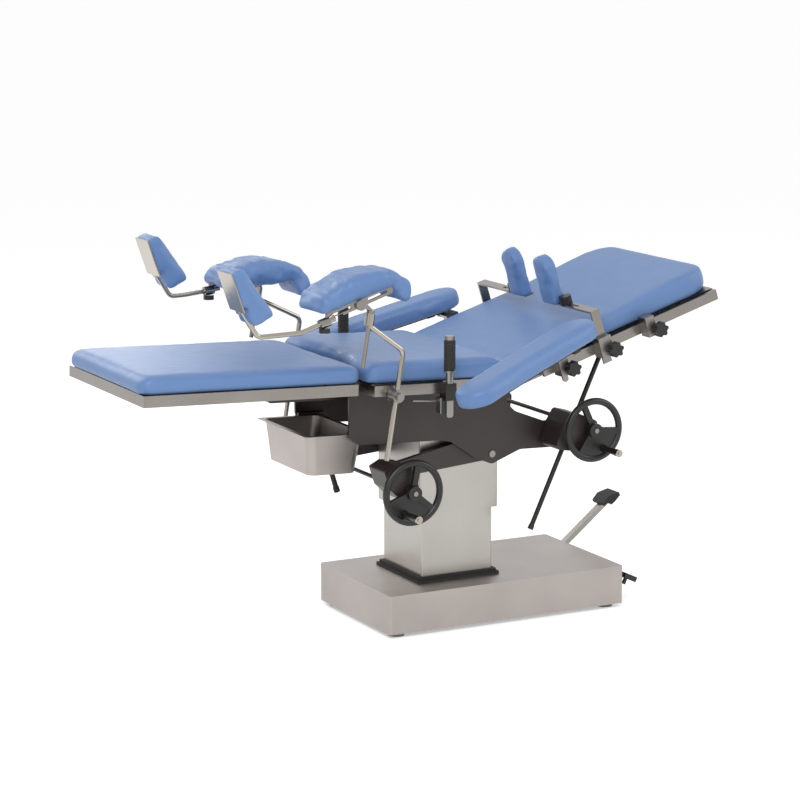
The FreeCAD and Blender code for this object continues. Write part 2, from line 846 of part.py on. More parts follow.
def make_side_plates():
    plate_outer = plate_inner_y + plate_thickness
    corners = [(side_plate_front, side_plate_front_top, 0),
               (side_plate_front, side_plate_front_bottom, side_plate_front_corner),
               (*side_plate_belly, belly_round), (*side_plate_step, edge_round), (*side_plate_waist, edge_round),
               (tilt_pivot_x, side_plate_lobe_bottom, edge_round), (*side_plate_rise, rise_round),
               (*side_plate_tail_bottom, tail_tip_round), (*side_plate_tail_top, tail_round),
               (*side_plate_tail_inner, tail_round), (*side_plate_hollow, edge_round), (*side_plate_neck, belly_round),
               (*side_plate_shoulder, shoulder_round), (side_plate_rear, side_plate_rear_top, 0)]
    plate = xz_plate(corners, (plate_inner_y, plate_outer))
    plate = plate.cut(y_cylinder(tilt_pivot_x, tilt_pivot_z, (plate_inner_y, plate_outer), tilt_pin_radius))
    plate = plate.cut(y_cylinder(back_shaft_x, back_shaft_z, (plate_inner_y, plate_outer), cross_shaft_radius + pin_gap))
    return [plate, mirrored(plate)]


def make_carrier_frame():
    pieces = []
    for x in (-470, -10):
        pieces.append(block(middle_span(x, bar_width), (-plate_inner_y, plate_inner_y), (beam_top - bar_depth, beam_top)))
    for side in (-1, 1):
        y_span = middle_span(side * beam_y, beam_width)
        corners = [(beam_front, beam_top, 2), (beam_nose, beam_top - beam_drop, 10), (beam_rear, beam_top - beam_drop, 2),
                   (beam_rear, beam_top, 2)]
        pieces.append(xz_plate(corners, y_span))
    pieces.append(block(middle_span(beam_rear, bar_width), (-plate_inner_y, plate_inner_y),
                        (beam_top - beam_drop, beam_top)))
    frame = pieces[0].fuse(pieces[1:])
    rails = []
    lip_low = basin_rim - basin_sheet - pad_gap
    for side in (-1, 1):
        outer = (plate_inner_y - runner_wall, plate_inner_y)
        whole = block((side_plate_front, runner_rear), (basin_half - basin_lip / 2, plate_inner_y),
                      middle_span(basin_rim, runner_height))
        slot = block((side_plate_front, runner_rear), (basin_half - basin_lip / 2, outer[0]),
                     (lip_low, basin_rim + pad_gap))
        rail = whole.cut(slot)
        rails.append(rail if side > 0 else mirrored(rail))
    return [tilted(frame)] + [tilted(rail) for rail in rails]


def make_basin():
    rim_z = (basin_rim - basin_sheet, basin_rim)
    x_span = (basin_front, basin_rear)
    lip = rounded_block(x_span, (-basin_half, basin_half), rim_z, basin_corner / 2)
    top = (basin_front + basin_lip, basin_rear - basin_lip, basin_half - basin_lip)
    low = (top[0] + basin_taper, top[1] - basin_taper, top[2] - basin_taper)

    def loft(shrink, bottom):
        sections = []
        for (x_low, x_high, half), z in ((low, bottom), (top, basin_rim)):
            corners = [(x_low + shrink, -half + shrink), (x_high - shrink, -half + shrink),
                       (x_high - shrink, half - shrink), (x_low + shrink, half - shrink)]
            points = [Vec(x, y, z) for x, y in corners]
            sections.append(corner_path(points, [basin_corner - shrink] * 4, True))
        return Part.makeLoft(sections, True, True)

    bottom = basin_rim - basin_depth
    outer = loft(0, bottom)
    inner = loft(basin_sheet, bottom + basin_sheet)
    return tilted(lip.fuse(outer).cut(inner))


# Seat
rail_top = rail_bottom + rail_height
tube_inner = frame_half - tube_width


def both_sides(solids):
    return solids + [mirrored(solid) for solid in solids]


def make_seat_frame():
    height = (rail_bottom, rail_top)
    front_tube = seat_front + rail_depth
    half = [block((front_tube, seat_rear), (tube_inner, frame_half), height),
            block((seat_front, seat_rail_end), (rail_half - rail_depth, rail_half), height)]
    for x in (seat_front + tube_width * 2, seat_rail_end - tube_width):
        half.append(y_cylinder(x, rail_bottom + rail_height / 2, (frame_half, rail_half - rail_depth), rail_spacer_radius))
    ear_y = (hinge_ear_y, hinge_ear_y + hinge_ear_thickness)
    ear = block((seat_rear, hinge_x), ear_y, (hinge_z - hinge_ear_radius, rail_top))
    half.append(ear)
    half.append(y_cylinder(hinge_x, hinge_z, ear_y, hinge_ear_radius))
    pieces = both_sides(half)
    pieces.append(block((seat_front, front_tube), (-rail_half, rail_half), height))
    pieces.append(block((front_tube, front_tube + bar_width), (-frame_half, frame_half), height))
    pieces.append(block((seat_rear - bar_width, seat_rear), (-frame_half, frame_half), height))
    frame = pieces[0].fuse(pieces[1:])
    hinge_hole = y_cylinder(hinge_x, hinge_z, (-frame_half, frame_half), hinge_radius + pin_gap)
    socket_x = (seat_front - 1, seat_front + socket_length)
    for side in (-1, 1):
        start = Vec(socket_x[0] + 1, side * tongue_y, rail_bottom + rail_height / 2)
        end = Vec(socket_x[1], side * tongue_y, rail_bottom + rail_height / 2)
        frame = frame.fuse(cylinder(start, end, tongue_radius + socket_wall))
        frame = frame.cut(cylinder(start - X_AXIS, end + X_AXIS, tongue_radius + pin_gap))
    frame = frame.cut(hinge_hole)
    deck = block((seat_front, seat_rear), (-frame_half, frame_half), (rail_top, rail_top + deck_thickness))
    ear_lug = make_ear(tilt_ear_x, tilt_ear_z, (tilt_ear_x - screw_eye_radius, tilt_ear_x + screw_eye_radius * 3),
                       727, tilt_screw_y, screw_gap)
    bar_y = middle_span(tilt_screw_y, screw_eye_thickness + 2 * (screw_gap + ear_thickness))
    ear_bar = block((tilt_ear_x - screw_eye_radius, tilt_ear_x + screw_eye_radius * 3), bar_y, (rail_bottom + 2, rail_top))
    return [tilted(frame.fuse([deck, ear_bar]))] + ear_lug


def pad_outline(front, rear, half, corner):
    return [(front, -half, corner), (rear, -half, corner), (rear, half, corner), (front, half, corner)]


def make_seat_pad():
    bottom = rail_top + deck_thickness + pad_gap
    span = (bottom, bottom + seat_pad_thickness)
    rear_slope = math.tan(math.radians(pad_end_slope)) * seat_pad_thickness
    profile = [(seat_pad_front, span[0], 4), (seat_pad_rear, span[0], 0), (seat_pad_rear - rear_slope, span[1], 12),
               (seat_pad_front, span[1], 16)]
    pad = xz_plate(profile, (-seat_pad_half, seat_pad_half))
    reach = seat_pad_half * 0.62
    chord = seat_crescent
    radius = (reach * reach + chord * chord) / (2 * chord)
    centre_x = seat_pad_front + chord - radius
    bite = cylinder(Vec(centre_x, 0, span[0]), Vec(centre_x, 0, span[1]), radius)
    corners = xy_plate(pad_outline(seat_pad_front, seat_pad_rear, seat_pad_half, pad_corner), span)
    return tilted(pad.common(corners).cut(bite))


def make_seat_clamps():
    solids = []
    for side in (-1, 1):
        post_x = post_foot[0] + (post_knee[0] - post_foot[0]) * (post_clamp_z - post_foot[1]) / (post_knee[1] - post_foot[1])
        half = post_clamp_size / 2
        body = y_cylinder(post_x, post_clamp_z, (clamp_inner_y, post_y + post_radius + clamp_wall), half)
        hook = block((post_x - clamp_length / 2, post_x + clamp_length / 2), (rail_half + grip_gap, clamp_inner_y + 1),
                     (rail_bottom + 4, rail_top + 12))
        clip = body.fuse(hook)
        knob = y_cylinder(post_x, post_clamp_z, (post_y + post_radius + clamp_wall, post_y + post_radius + 3 * clamp_wall),
                          half * 0.6)
        clip = clip.fuse(knob)
        low = Vec(post_foot[0], post_y, post_foot[1])
        high = Vec(post_knee[0], post_y, post_knee[1])
        clip = clip.cut(cylinder(low, high, post_radius + pin_gap))
        solids.append(clip if side > 0 else mirrored(clip))
        length = middle_span(grip_x, grip_block_length)
        holder = block(length, (rail_half + grip_gap, grip_y + grip_stem_depth + 3), (grip_block_bottom + 36, grip_block_top))
        jaw = block((length[0] - 12, length[0] + 8), (rail_half + grip_gap, grip_y), (grip_block_bottom, grip_block_top - 40))
        slot = block(middle_span(grip_x, grip_stem_width + 2 * grip_gap),
                     middle_span(grip_y, grip_stem_depth + 2 * grip_gap), (grip_stem_bottom, grip_collar_top))
        holder = holder.fuse(jaw).cut(slot)
        solids.append(holder if side > 0 else mirrored(holder))
        rod_y = rail_half - thin_rail_inset
        rod = cylinder(Vec(thin_rail_start, rod_y, thin_rail_front_z), Vec(length[0] - 12, rod_y, thin_rail_rear_z),
                       thin_rail_radius)
        solids.append(rod if side > 0 else mirrored(rod))
    return solids


def make_hand_grip(side):
    y = grip_y
    stem = block(middle_span(grip_x, grip_stem_width), middle_span(y, grip_stem_depth),
                 (grip_stem_bottom, grip_block_top + 4))
    stem = stem.makeFillet(grip_stem_depth, [edge for edge in stem.Edges
                                             if abs(edge.tangentAt(0).y) > 0.9 and edge.BoundBox.ZMax < grip_block_bottom])
    collar_start = grip_block_top + grip_gap
    collar = cylinder(Vec(grip_x, y, collar_start), Vec(grip_x, y, grip_collar_top), grip_collar_radius)
    flange = cylinder(Vec(grip_x, y, grip_collar_top - 4), Vec(grip_x, y, grip_collar_top), grip_radius + 2)
    handle = cylinder(Vec(grip_x, y, grip_collar_top), Vec(grip_x, y, grip_handle_top), grip_radius)
    cap = cylinder(Vec(grip_x, y, grip_handle_top), Vec(grip_x, y, grip_cap_top), grip_radius - 1)
    grip = stem.fuse([collar, flange, handle, cap])
    return grip if side > 0 else mirrored(grip)


# Leg section
def make_leg_frame():
    height = (rail_bottom, rail_top)
    outer = block((leg_front, leg_rear), (-leg_half, leg_half), height)
    hollow = block((leg_front + bar_width, leg_rear - bar_width), (-leg_half + bar_width, leg_half - bar_width), height)
    pieces = [outer.cut(hollow)]
    middle = (leg_front + leg_rear) / 2
    for x in (middle - crossbar_spacing / 2, middle + crossbar_spacing / 2):
        pieces.append(block(middle_span(x, bar_width), (-leg_half + bar_width, leg_half - bar_width),
                            (rail_bottom + bar_width / 2, rail_top)))
    for side in (-1, 1):
        start = Vec(leg_rear - bar_width / 2, side * tongue_y, rail_bottom + rail_height / 2)
        pieces.append(cylinder(start, start + X_AXIS * (tongue_length + bar_width / 2), tongue_radius))
    pieces.append(block((leg_front, leg_rear), (-leg_half, leg_half), (rail_top, rail_top + deck_thickness)))
    return tilted(pieces[0].fuse(pieces[1:]))


def make_leg_pad():
    bottom = rail_top + deck_thickness + pad_gap
    span = (bottom, bottom + leg_pad_thickness)
    rear = seat_pad_front - leg_seat_gap
    profile = [(leg_pad_front, span[0], 4), (rear, span[0], 4), (rear, span[1], 14), (leg_pad_front, span[1], 18)]
    pad = xz_plate(profile, (-leg_half, leg_half))
    return tilted(pad.common(xy_plate(pad_outline(leg_pad_front, rear, leg_half, leg_pad_corner), span)))


# Back section
hinge_place = Vec(hinge_x - tilt_pivot_x, 0, hinge_z - tilt_pivot_z)
hinge_place = FreeCAD.Rotation(Y_AXIS, rest_tilt).multVec(hinge_place) + Vec(tilt_pivot_x, 0, tilt_pivot_z)
back_rail_low = rail_bottom - hinge_z
back_rail_high = back_rail_low + rail_height


def on_back(shape):
    return shape.rotate(ORIGIN, Y_AXIS, -back_angle).translate(hinge_place)


def make_back_frame():
    height = (back_rail_low, back_rail_high)
    back_tube_end = back_end - rail_depth
    ear_y = (hinge_ear_y + hinge_ear_thickness + 1, frame_half)
    half = [block((back_start, back_tube_end), (tube_inner, frame_half), height),
            block((back_rail_start, back_end), (rail_half - rail_depth, rail_half), height),
            block((0, back_start), ear_y, (-hinge_ear_radius, back_rail_high)),
            y_cylinder(0, 0, ear_y, hinge_ear_radius),
            y_cylinder(0, 0, (hinge_ear_y, ear_y[0]), hinge_radius)]
    for s in (back_rail_start + tube_width, (back_rail_start + back_end) / 2, back_end - 2 * tube_width):
        half.append(y_cylinder(s, back_rail_low + rail_height / 2, (frame_half, rail_half - rail_depth), rail_spacer_radius))
    pieces = both_sides(half)
    pieces.append(block((back_tube_end, back_end), (-rail_half, rail_half), height))
    pieces.append(block((back_tube_end - bar_width, back_tube_end), (-frame_half, frame_half), height))
    pieces.append(block((back_start, back_start + bar_width), (-tube_inner, tube_inner), height))
    middle = (back_start + back_end) / 2
    ear_s = hinge_distance(back_line.high)
    for s in (ear_s + 2 * screw_eye_radius + bar_width, middle + crossbar_spacing):
        pieces.append(block(middle_span(s, bar_width), (-tube_inner, tube_inner), height))
    pieces.append(block((back_start, back_end), (-frame_half, frame_half), (back_rail_high, back_rail_high + deck_thickness)))
    frame = on_back(pieces[0].fuse(pieces[1:]))
    ears = []
    for side in (-1, 1):
        ears += back_ears(ear_s, side)
    return frame.fuse(ears)


def hinge_distance(point):
    offset = point - hinge_place
    return offset.x * math.cos(math.radians(back_angle)) + offset.z * math.sin(math.radians(back_angle))


def hinge_height(point):
    offset = point - hinge_place
    return -offset.x * math.sin(math.radians(back_angle)) + offset.z * math.cos(math.radians(back_angle))


def back_ears(ear_s, side):
    # Pairs of plates that reach forward from a cross bar to the eyes of the back screws
    ear_n = hinge_height(back_line.high)
    radius = screw_eye_radius
    bar_s = ear_s + 2 * radius + bar_width
    plates = []
    for way in (-1, 1):
        inner = back_screw_y + way * (screw_eye_thickness / 2 + screw_gap)
        outer = inner + way * ear_thickness
        span = (min(inner, outer), max(inner, outer))
        corners = [(ear_s, ear_n - radius, 4), (bar_s + bar_width / 2, back_rail_low, 0),
                   (bar_s + bar_width / 2, back_rail_high, 0), (bar_s - bar_width / 2, back_rail_high, 0), (ear_s, ear_n + radius, 4)]
        plate = xz_plate(corners, span).fuse(y_cylinder(ear_s, ear_n, span, radius))
        head_y = (outer, outer + way * ear_thickness / 2)
        head = y_cylinder(ear_s, ear_n, (min(head_y), max(head_y)), screw_pin_radius)
        plate = plate.fuse(head)
        plates.append(on_back(plate if side > 0 else mirrored(plate)))
    return plates


def make_back_pad():
    bottom = back_rail_high + deck_thickness + pad_gap
    span = (bottom, bottom + back_pad_thickness)
    slope = math.tan(math.radians(pad_end_slope)) * back_pad_thickness
    start = back_pad_start + math.tan(math.radians(pad_end_slope)) * bottom
    profile = [(start, span[0], 0), (back_pad_end, span[0], 4), (back_pad_end, span[1], 20), (start + slope, span[1], 12)]
    pad = xz_plate(profile, (-seat_pad_half, seat_pad_half))
    corners = [(start, -seat_pad_half, 8), (back_pad_end, -seat_pad_half, back_pad_corner),
               (back_pad_end, seat_pad_half, back_pad_corner), (start, seat_pad_half, 8)]
    return on_back(pad.common(xy_plate(corners, span)))


# Clamps, arm rests and shoulder supports, drawn on the +Y side of the back
def on_side(shape, side):
    return on_back(shape if side > 0 else mirrored(shape))


def make_rail_clamp(s, y_reach):
    # C-shaped clamp that hooks over the rail's top and bottom
    span = middle_span(s, clamp_length)
    body = block(span, (rail_half + grip_gap, y_reach), (back_rail_low - clamp_wall, clamp_top))
    upper = block(span, (rail_half - rail_depth / 2, rail_half + 1), (back_rail_high + grip_gap, back_rail_high + 2))
    return body.fuse(upper)


def make_star_knob(s, y_start, z):
    y_end = y_start + knob_depth
    knob = y_cylinder(s, z, (y_start, y_end), knob_radius * 0.8)
    for lobe in range(knob_lobes):
        angle = math.radians(lobe * 360 / knob_lobes)
        lobe_s = s + knob_radius * 0.72 * math.cos(angle)
        lobe_z = z + knob_radius * 0.72 * math.sin(angle)
        knob = knob.fuse(y_cylinder(lobe_s, lobe_z, (y_start, y_end), knob_radius * 0.3))
    return knob


clamp_outer_y = clamp_inner_y + clamp_depth
knob_start_y = clamp_outer_y + grip_gap


def make_back_clamps():
    solids = []
    for side in (-1, 1):
        for s in (arm_clamp_s, shoulder_clamp_s, spare_clamp_s):
            if s == spare_clamp_s and side > 0:
                continue
            clip = make_rail_clamp(s, clamp_outer_y)
            tab = y_cylinder(s + knob_shift, knob_drop, (rail_half + grip_gap, clamp_outer_y), knob_radius / 2)
            clip = clip.fuse(tab)
            if s == shoulder_clamp_s:
                slot = block(middle_span(s, shoulder_bar_width + 2 * grip_gap),
                             middle_span(post_y, shoulder_bar_thickness + 2 * grip_gap), (tongue_drop, clamp_top))
                wide = block(middle_span(s, shoulder_bar_width + 2 * clamp_wall), (rail_half + grip_gap, clamp_outer_y),
                             (back_rail_low - clamp_wall, clamp_top))
                clip = clip.fuse(wide).cut(slot)
            if s == arm_clamp_s:
                tongue = xz_plate([(s - tongue_width / 2, back_rail_low, 0), (s - tongue_width / 2, tongue_drop, 8),
                                   (s + tongue_width / 2, tongue_drop, 8), (s + tongue_width / 2, back_rail_low, 0)],
                                  (post_y, post_y + clamp_wall))
                post = block(middle_span(s, tongue_width), (rail_half + grip_gap, post_y), (clamp_top - 1, arm_plate_bottom - 9))
                tab = block((s - tongue_width / 2, arm_pivot_s + tongue_width), (rail_half + grip_gap, arm_pivot_y + tongue_width),
                            (arm_plate_bottom - 9, arm_plate_bottom - 1))
                pin = cylinder(Vec(arm_pivot_s, arm_pivot_y, arm_plate_bottom - 9),
                               Vec(arm_pivot_s, arm_pivot_y, arm_plate_bottom + arm_plate_thickness - 1), arm_pin_radius)
                clip = clip.fuse([tongue, post, tab, pin])
            stem_hole = y_cylinder(s + knob_shift, knob_drop, (clamp_outer_y - clamp_wall * 2, clamp_outer_y),
                                   knob_stem_radius + pin_gap)
            if side < 0:
                clip = clip.cut(stem_hole)
                solids.append(on_side(clip, side))
                continue
            solids.append(on_side(clip, side))
            solids.append(on_side(make_star_knob(s + knob_shift, clamp_outer_y, knob_drop), side))
    return solids


def make_near_knob(s):
    knob = make_star_knob(s + knob_shift, knob_start_y, knob_drop)
    stem = y_cylinder(s + knob_shift, knob_drop, (clamp_outer_y - clamp_wall * 2, knob_start_y), knob_stem_radius)
    return on_side(knob.fuse(stem), -1)


def arm_frame(shape, yaw, side):
    # Arm parts are drawn along -X from the pivot, then turned outward about it
    shape = shape.rotate(Vec(0, 0, 0), Z_AXIS, -yaw)
    return on_side(shape.translate(Vec(arm_pivot_s, arm_pivot_y, 0)), side)


def rounded_bar(x_span, y_span, z_span):
    radius = (y_span[1] - y_span[0]) / 2 - 0.5
    return rounded_block(x_span, y_span, z_span, radius)


def make_arm_plate(yaw, reach, side):
    z_span = (arm_plate_bottom, arm_plate_bottom + arm_plate_thickness)
    head = reach - arm_plate_width / 2
    plate = rounded_bar((head - arm_plate_length, head), middle_span(arm_side_reach, arm_plate_width), z_span)
    hole = cylinder(Vec(0, 0, z_span[0]), Vec(0, 0, z_span[1]), arm_pin_radius + pin_gap)
    bracket = block((head - 70, head - 46), middle_span(arm_side_reach + 12, arm_plate_width / 2), (z_span[0] - 12, z_span[0]))
    button = cylinder(Vec(head - 20, arm_side_reach, z_span[0] - 14), Vec(head - 20, arm_side_reach, z_span[0]), arm_pin_radius)
    return arm_frame(plate.fuse([bracket, button]).cut(hole), yaw, side)


def make_arm_pad(yaw, reach, side):
    z_span = (arm_pad_bottom, arm_pad_bottom + arm_pad_thickness)
    pad = rounded_bar((reach - arm_pad_length, reach), middle_span(arm_side_reach, arm_pad_width), z_span)
    return arm_frame(pad, yaw, side)


def make_shoulder_bracket(pad_y, side):
    s_span = middle_span(shoulder_clamp_s, shoulder_bar_width)
    y_span = middle_span(post_y, shoulder_bar_thickness)
    upright = block(s_span, y_span, (tongue_drop, shoulder_arm_z + shoulder_bar_thickness))
    z_span = (shoulder_arm_z, shoulder_arm_z + shoulder_bar_thickness)
    arm = block(s_span, (pad_y - shoulder_bar_width, y_span[1]), z_span)
    knob_y = pad_y + shoulder_knob_gap
    slot = rounded_block(middle_span(shoulder_clamp_s, bar_slot_width), middle_span(knob_y + shoulder_slot_length / 4, shoulder_slot_length),
                         z_span, bar_slot_width / 2 - 0.2)
    arm = arm.cut(slot)
    knob_low = Vec(shoulder_clamp_s, knob_y, z_span[1])
    knob = cylinder(knob_low, knob_low + Z_AXIS * knob_depth, knob_radius * 0.8)
    stem = cylinder(knob_low - Z_AXIS * knob_depth / 2, knob_low, bar_slot_width / 2 - 0.2)
    back_plate = block((shoulder_clamp_s + 8, shoulder_clamp_s + 12), middle_span(pad_y, shoulder_pad_width / 2),
                       (z_span[1], shoulder_arm_z + shoulder_pad_height / 2))
    return on_side(upright.fuse([arm, knob, stem, back_plate]), side)


def make_shoulder_pad(pad_y, side):
    low = shoulder_arm_z + shoulder_bar_thickness + grip_gap
    front = shoulder_clamp_s + 8 - grip_gap
    half = shoulder_pad_width / 2
    section = [(low, -half, 10), (low + shoulder_pad_height, -half, half - 1), (low + shoulder_pad_height, half, half - 1),
               (low, half, 10)]
    points = [Vec(front, pad_y + y, z) for z, y, _ in section]
    face = Part.Face(corner_path(points, [radius for _, _, radius in section], True))
    pad = face.extrude(Vec(-shoulder_pad_thickness, 0, 0))
    return on_side(pad, side)


# Back drive
def make_back_gearbox(side):
    # Swivelling housing on the cross shaft, with the screw's nut inside
    span = (back_gearbox_far_y, back_gearbox_near_y)
    corners = [(146, 590, 12), (166, 622, 12), (206, 612, 12), (262, 588, 16), (262, 540, 20), (206, 502, 12),
               (120, 516, 12)] if side < 0 else [(150, 570, 12), (166, 622, 12), (206, 618, 12), (244, 590, 14),
                                                 (236, 540, 16), (170, 530, 14)]
    box = xz_plate(corners, span)
    if side < 0:
        boss = y_cylinder(back_wheel_x, back_wheel_z, (back_gearbox_near_y, -wheel_y - wheel_hub_length / 2 - 1),
                          wheel_shaft_radius * 2)
        lug = y_cylinder(218, 534, (back_gearbox_near_y, back_gearbox_near_y + 6), 12)
        box = box.fuse([boss, lug])
        box = box.cut(y_cylinder(back_wheel_x, back_wheel_z, (back_gearbox_far_y + cheek_thickness, -wheel_y),
                                 wheel_shaft_radius + pin_gap))
    box = box.cut(y_cylinder(back_shaft_x, back_shaft_z, (back_gearbox_far_y, back_gearbox_near_y - clamp_wall),
                             cross_shaft_radius + pin_gap))
    shift = Vec(0, back_screw_y, 0)
    reach = back_line.way * nut_box_size * 3
    bore = cylinder(back_line.foot + shift - reach, back_line.foot + shift + reach, back_screw_radius + screw_gap)
    box = box.cut(bore)
    return box if side > 0 else mirrored(box)


def make_back_cross_shaft():
    end = back_gearbox_near_y - clamp_wall - 1
    return y_cylinder(back_shaft_x, back_shaft_z, (-end, end), cross_shaft_radius)


# Leg supports, drawn on the +Y side
def flat_point(pair):
    return Vec(pair[0], post_y, pair[1])


def make_leg_post(barrel_place, side):
    low = flat_point(post_foot)
    knee = flat_point(post_knee)
    top = flat_point(barrel_place)
    rod = bent_rod([low, knee, top], post_bend, post_radius)
    barrel_way = stem_way()
    barrel = cylinder(top, top + barrel_way * barrel_height, barrel_radius)
    bore = cylinder(top - barrel_way * barrel_height, top + barrel_way * barrel_height * 2, stem_radius + pin_gap)
    post = rod.fuse(barrel).cut(bore)
    return post if side > 0 else mirrored(post)


def stem_way():
    turn = math.radians(stem_lean)
    return Vec(math.sin(turn), 0, math.cos(turn))


def bar_way(tilt):
    turn = math.radians(tilt)
    return Vec(math.cos(turn), 0, math.sin(turn))


def make_crutch_bracket(barrel_place, hub, tilt, slope, side):
    way = stem_way()
    top = flat_point(barrel_place)
    high = top + way * (barrel_height + clamp_wall)
    stem = cylinder(top - way * stem_drop, high, stem_radius)
    cap = cylinder(top + way * (barrel_height + grip_gap), high, barrel_radius * 0.8)
    hub_point = flat_point(hub)
    neck = bent_rod([high - way, (high + hub_point) * 0.5 + Vec(0, 4, 0), hub_point - Z_AXIS * bar_plate_width * 0.6], 8,
                    stem_radius)
    run = bar_way(tilt)
    square = Vec(-run.z, 0, run.x)
    start = hub_point - run * bar_length / 2
    depth = Vec(0, bar_plate_thickness, 0)
    width = square * bar_plate_width
    origin = start - width - depth * 0.5
    outline = [origin, origin + run * bar_length, origin + run * bar_length + width, origin + width]
    plate = Part.Face(corner_path(outline, [bar_plate_width * 0.45] * 4, True)).extrude(depth)
    for way_sign in (-1, 1):
        middle = hub_point + run * way_sign * bar_slot_middle - width * 0.5 - depth
        half = run * (bar_slot_length / 2)
        across = square * (bar_slot_width / 2)
        points = [middle - half - across, middle + half - across, middle + half + across, middle - half + across]
        slot = Part.Face(corner_path(points, [bar_slot_width * 0.45] * 4, True)).extrude(depth * 2)
        plate = plate.cut(slot)
    disc_middle = hub_point - width * 0.7
    disc = cylinder(disc_middle + depth * 0.5, disc_middle + depth * 2, hub_disc_radius)
    rod_way, block_middle = foot_rod_line(hub, tilt, slope)
    size = foot_block_size
    jaw = cylinder(block_middle - rod_way * (size / 2), block_middle + rod_way * (size / 2), size * 0.45)
    tab = cylinder(start + run * bar_plate_width - width * 0.5, block_middle, bar_plate_width * 0.3)
    knob = cylinder(block_middle - Z_AXIS * size / 2, block_middle - Z_AXIS * (size / 2 + knob_depth / 2), knob_radius * 0.7)
    bore = cylinder(block_middle - rod_way * size * 2, block_middle + rod_way * size * 2, foot_rod_radius + pin_gap)
    bracket = stem.fuse([cap, neck, plate, disc, jaw, tab, knob]).cut(bore)
    return bracket if side > 0 else mirrored(bracket)


def foot_rod_line(hub, tilt, slope):
    # Way of the foot rod where it is clamped, and the middle of its clamp block
    run = bar_way(tilt)
    turn = math.radians(slope)
    start = flat_point(hub) - run * (bar_length / 2)
    middle = start + Vec(0, 0, -foot_block_size * 0.8)
    return Vec(-math.cos(turn), 0, -math.sin(turn)), middle


def make_crutch_pad(hub, tilt, side):
    # Knee pad that humps over the slotted bar and rolls down at its head end
    half = crutch_pad_width / 2
    crown = crutch_pad_crown
    lobe = crutch_pad_lobe
    start = crutch_pad_start
    end = crutch_pad_end
    corners = [(start, grip_gap, 10), (start * 3 / 4, crown * 2 / 3, 30), (end / 8, crown, 120), (end * 3 / 4, crown / 2, 50),
               (end, lobe / 2, 30), (end * 7 / 8, lobe, 14), (end * 3 / 4, lobe * 2 / 3, 12),
               (end * 0.74, grip_gap, 4)]
    pad = xz_plate(corners, (-half, half)).rotate(ORIGIN, Y_AXIS, -tilt)
    pad = pad.translate(flat_point(hub) + Vec(0, -crutch_pad_shift, 0))
    return pad if side > 0 else mirrored(pad)


def make_foot_rest(hub, tilt, slope, knee, top, side):
    rod_way, middle = foot_rod_line(hub, tilt, slope)
    start = middle - rod_way * foot_rod_start
    elbow = flat_point(knee)
    end = flat_point(top)
    bend_start = middle + rod_way * foot_rod_run
    rod = bent_rod([start, bend_start, elbow, end], post_bend, foot_rod_radius)
    plate = foot_plate_shape(end)
    rest = rod.fuse(plate)
    return rest if side > 0 else mirrored(rest)


def foot_plate_shape(end):
    half = foot_plate_width / 2
    plate = block((-foot_plate_thickness, 0), (-half, half), (0, foot_plate_height))
    lug = block((-foot_plate_thickness, foot_rod_radius), (-foot_rod_radius * 1.5, foot_rod_radius * 1.5), (-8, 12))
    plate = plate.fuse(lug).rotate(ORIGIN, Y_AXIS, -foot_plate_lean)
    return plate.translate(end + Vec(-foot_rod_radius, 0, 0))


def make_foot_pad(knee, top, side):
    half = foot_plate_width / 2
    end = flat_point(top)
    corners = [(grip_gap, foot_plate_height, 6), (grip_gap, 14, 0), (foot_rod_radius + 6, 14, 0),
               (foot_rod_radius + 6, foot_plate_height - foot_pad_height, 8),
               (foot_pad_bottom_depth, foot_plate_height - foot_pad_height + 6, 10),
               (foot_pad_top_depth, foot_plate_height, 10)]
    pad = xz_plate(corners, (-half, half)).rotate(ORIGIN, Y_AXIS, -foot_plate_lean)
    pad = pad.translate(end + Vec(-foot_rod_radius, 0, 0))
    elbow = flat_point(knee)
    groove = cylinder(elbow, end + (end - elbow) * 0.5, foot_rod_radius + pin_gap)
    pad = pad.cut(groove)
    return pad if side > 0 else mirrored(pad)


# Write every piece
export("base_cover", [make_base_cover()])
export("base_chassis", [make_base_chassis()])
export("floor_feet", make_floor_feet())
export("column_gasket", [make_gasket()])
export("lower_cover", [make_lower_cover()])
export("column_tube", make_column_tube())
export("hydraulic_cylinder", [make_hydraulic_cylinder()])
export("pump_lever", [make_pump_lever()])
export("pump_pad", [make_pump_pad()])
export("release_pedal", [make_release_pedal()])
export("inner_tube", [make_inner_tube()])
export("ram", [make_ram()])
export("upper_cover", [make_upper_cover()])
export("column_head", [make_column_head()])
export("tilt_gearbox", [make_tilt_gearbox()])
export("tilt_handwheel", [make_handwheel(tilt_wheel_x, tilt_wheel_z, tilt_wheel_turn, tilt_crank_angle,
                                         tilt_gearbox_far_y - cheek_thickness)])
export("tilt_crank", [make_crank(tilt_wheel_x, tilt_wheel_z, tilt_crank_angle)])
export("tilt_cross_shaft", [make_tilt_cross_shaft()])
export("tilt_nut_box", [make_tilt_nut_box()])
export("tilt_screw", [make_screw(tilt_line, tilt_screw_y, tilt_screw_radius)])
export("tilt_shaft", make_tilt_shaft())
export("side_plates", make_side_plates())
export("carrier_frame", make_carrier_frame())
export("seat_frame", make_seat_frame())
export("seat_pad", [make_seat_pad()])
export("seat_clamps", make_seat_clamps())
export("hand_grip_near", [make_hand_grip(-1)])
export("hand_grip_far", [make_hand_grip(1)])
export("leg_frame", [make_leg_frame()])
export("leg_pad", [make_leg_pad()])
export("basin", [make_basin()])
export("back_frame", [make_back_frame()])
export("back_pad", [make_back_pad()])
export("back_clamps", make_back_clamps())
export("back_gearboxes", [make_back_gearbox(-1), make_back_gearbox(1)])
export("back_cross_shaft", [make_back_cross_shaft()])
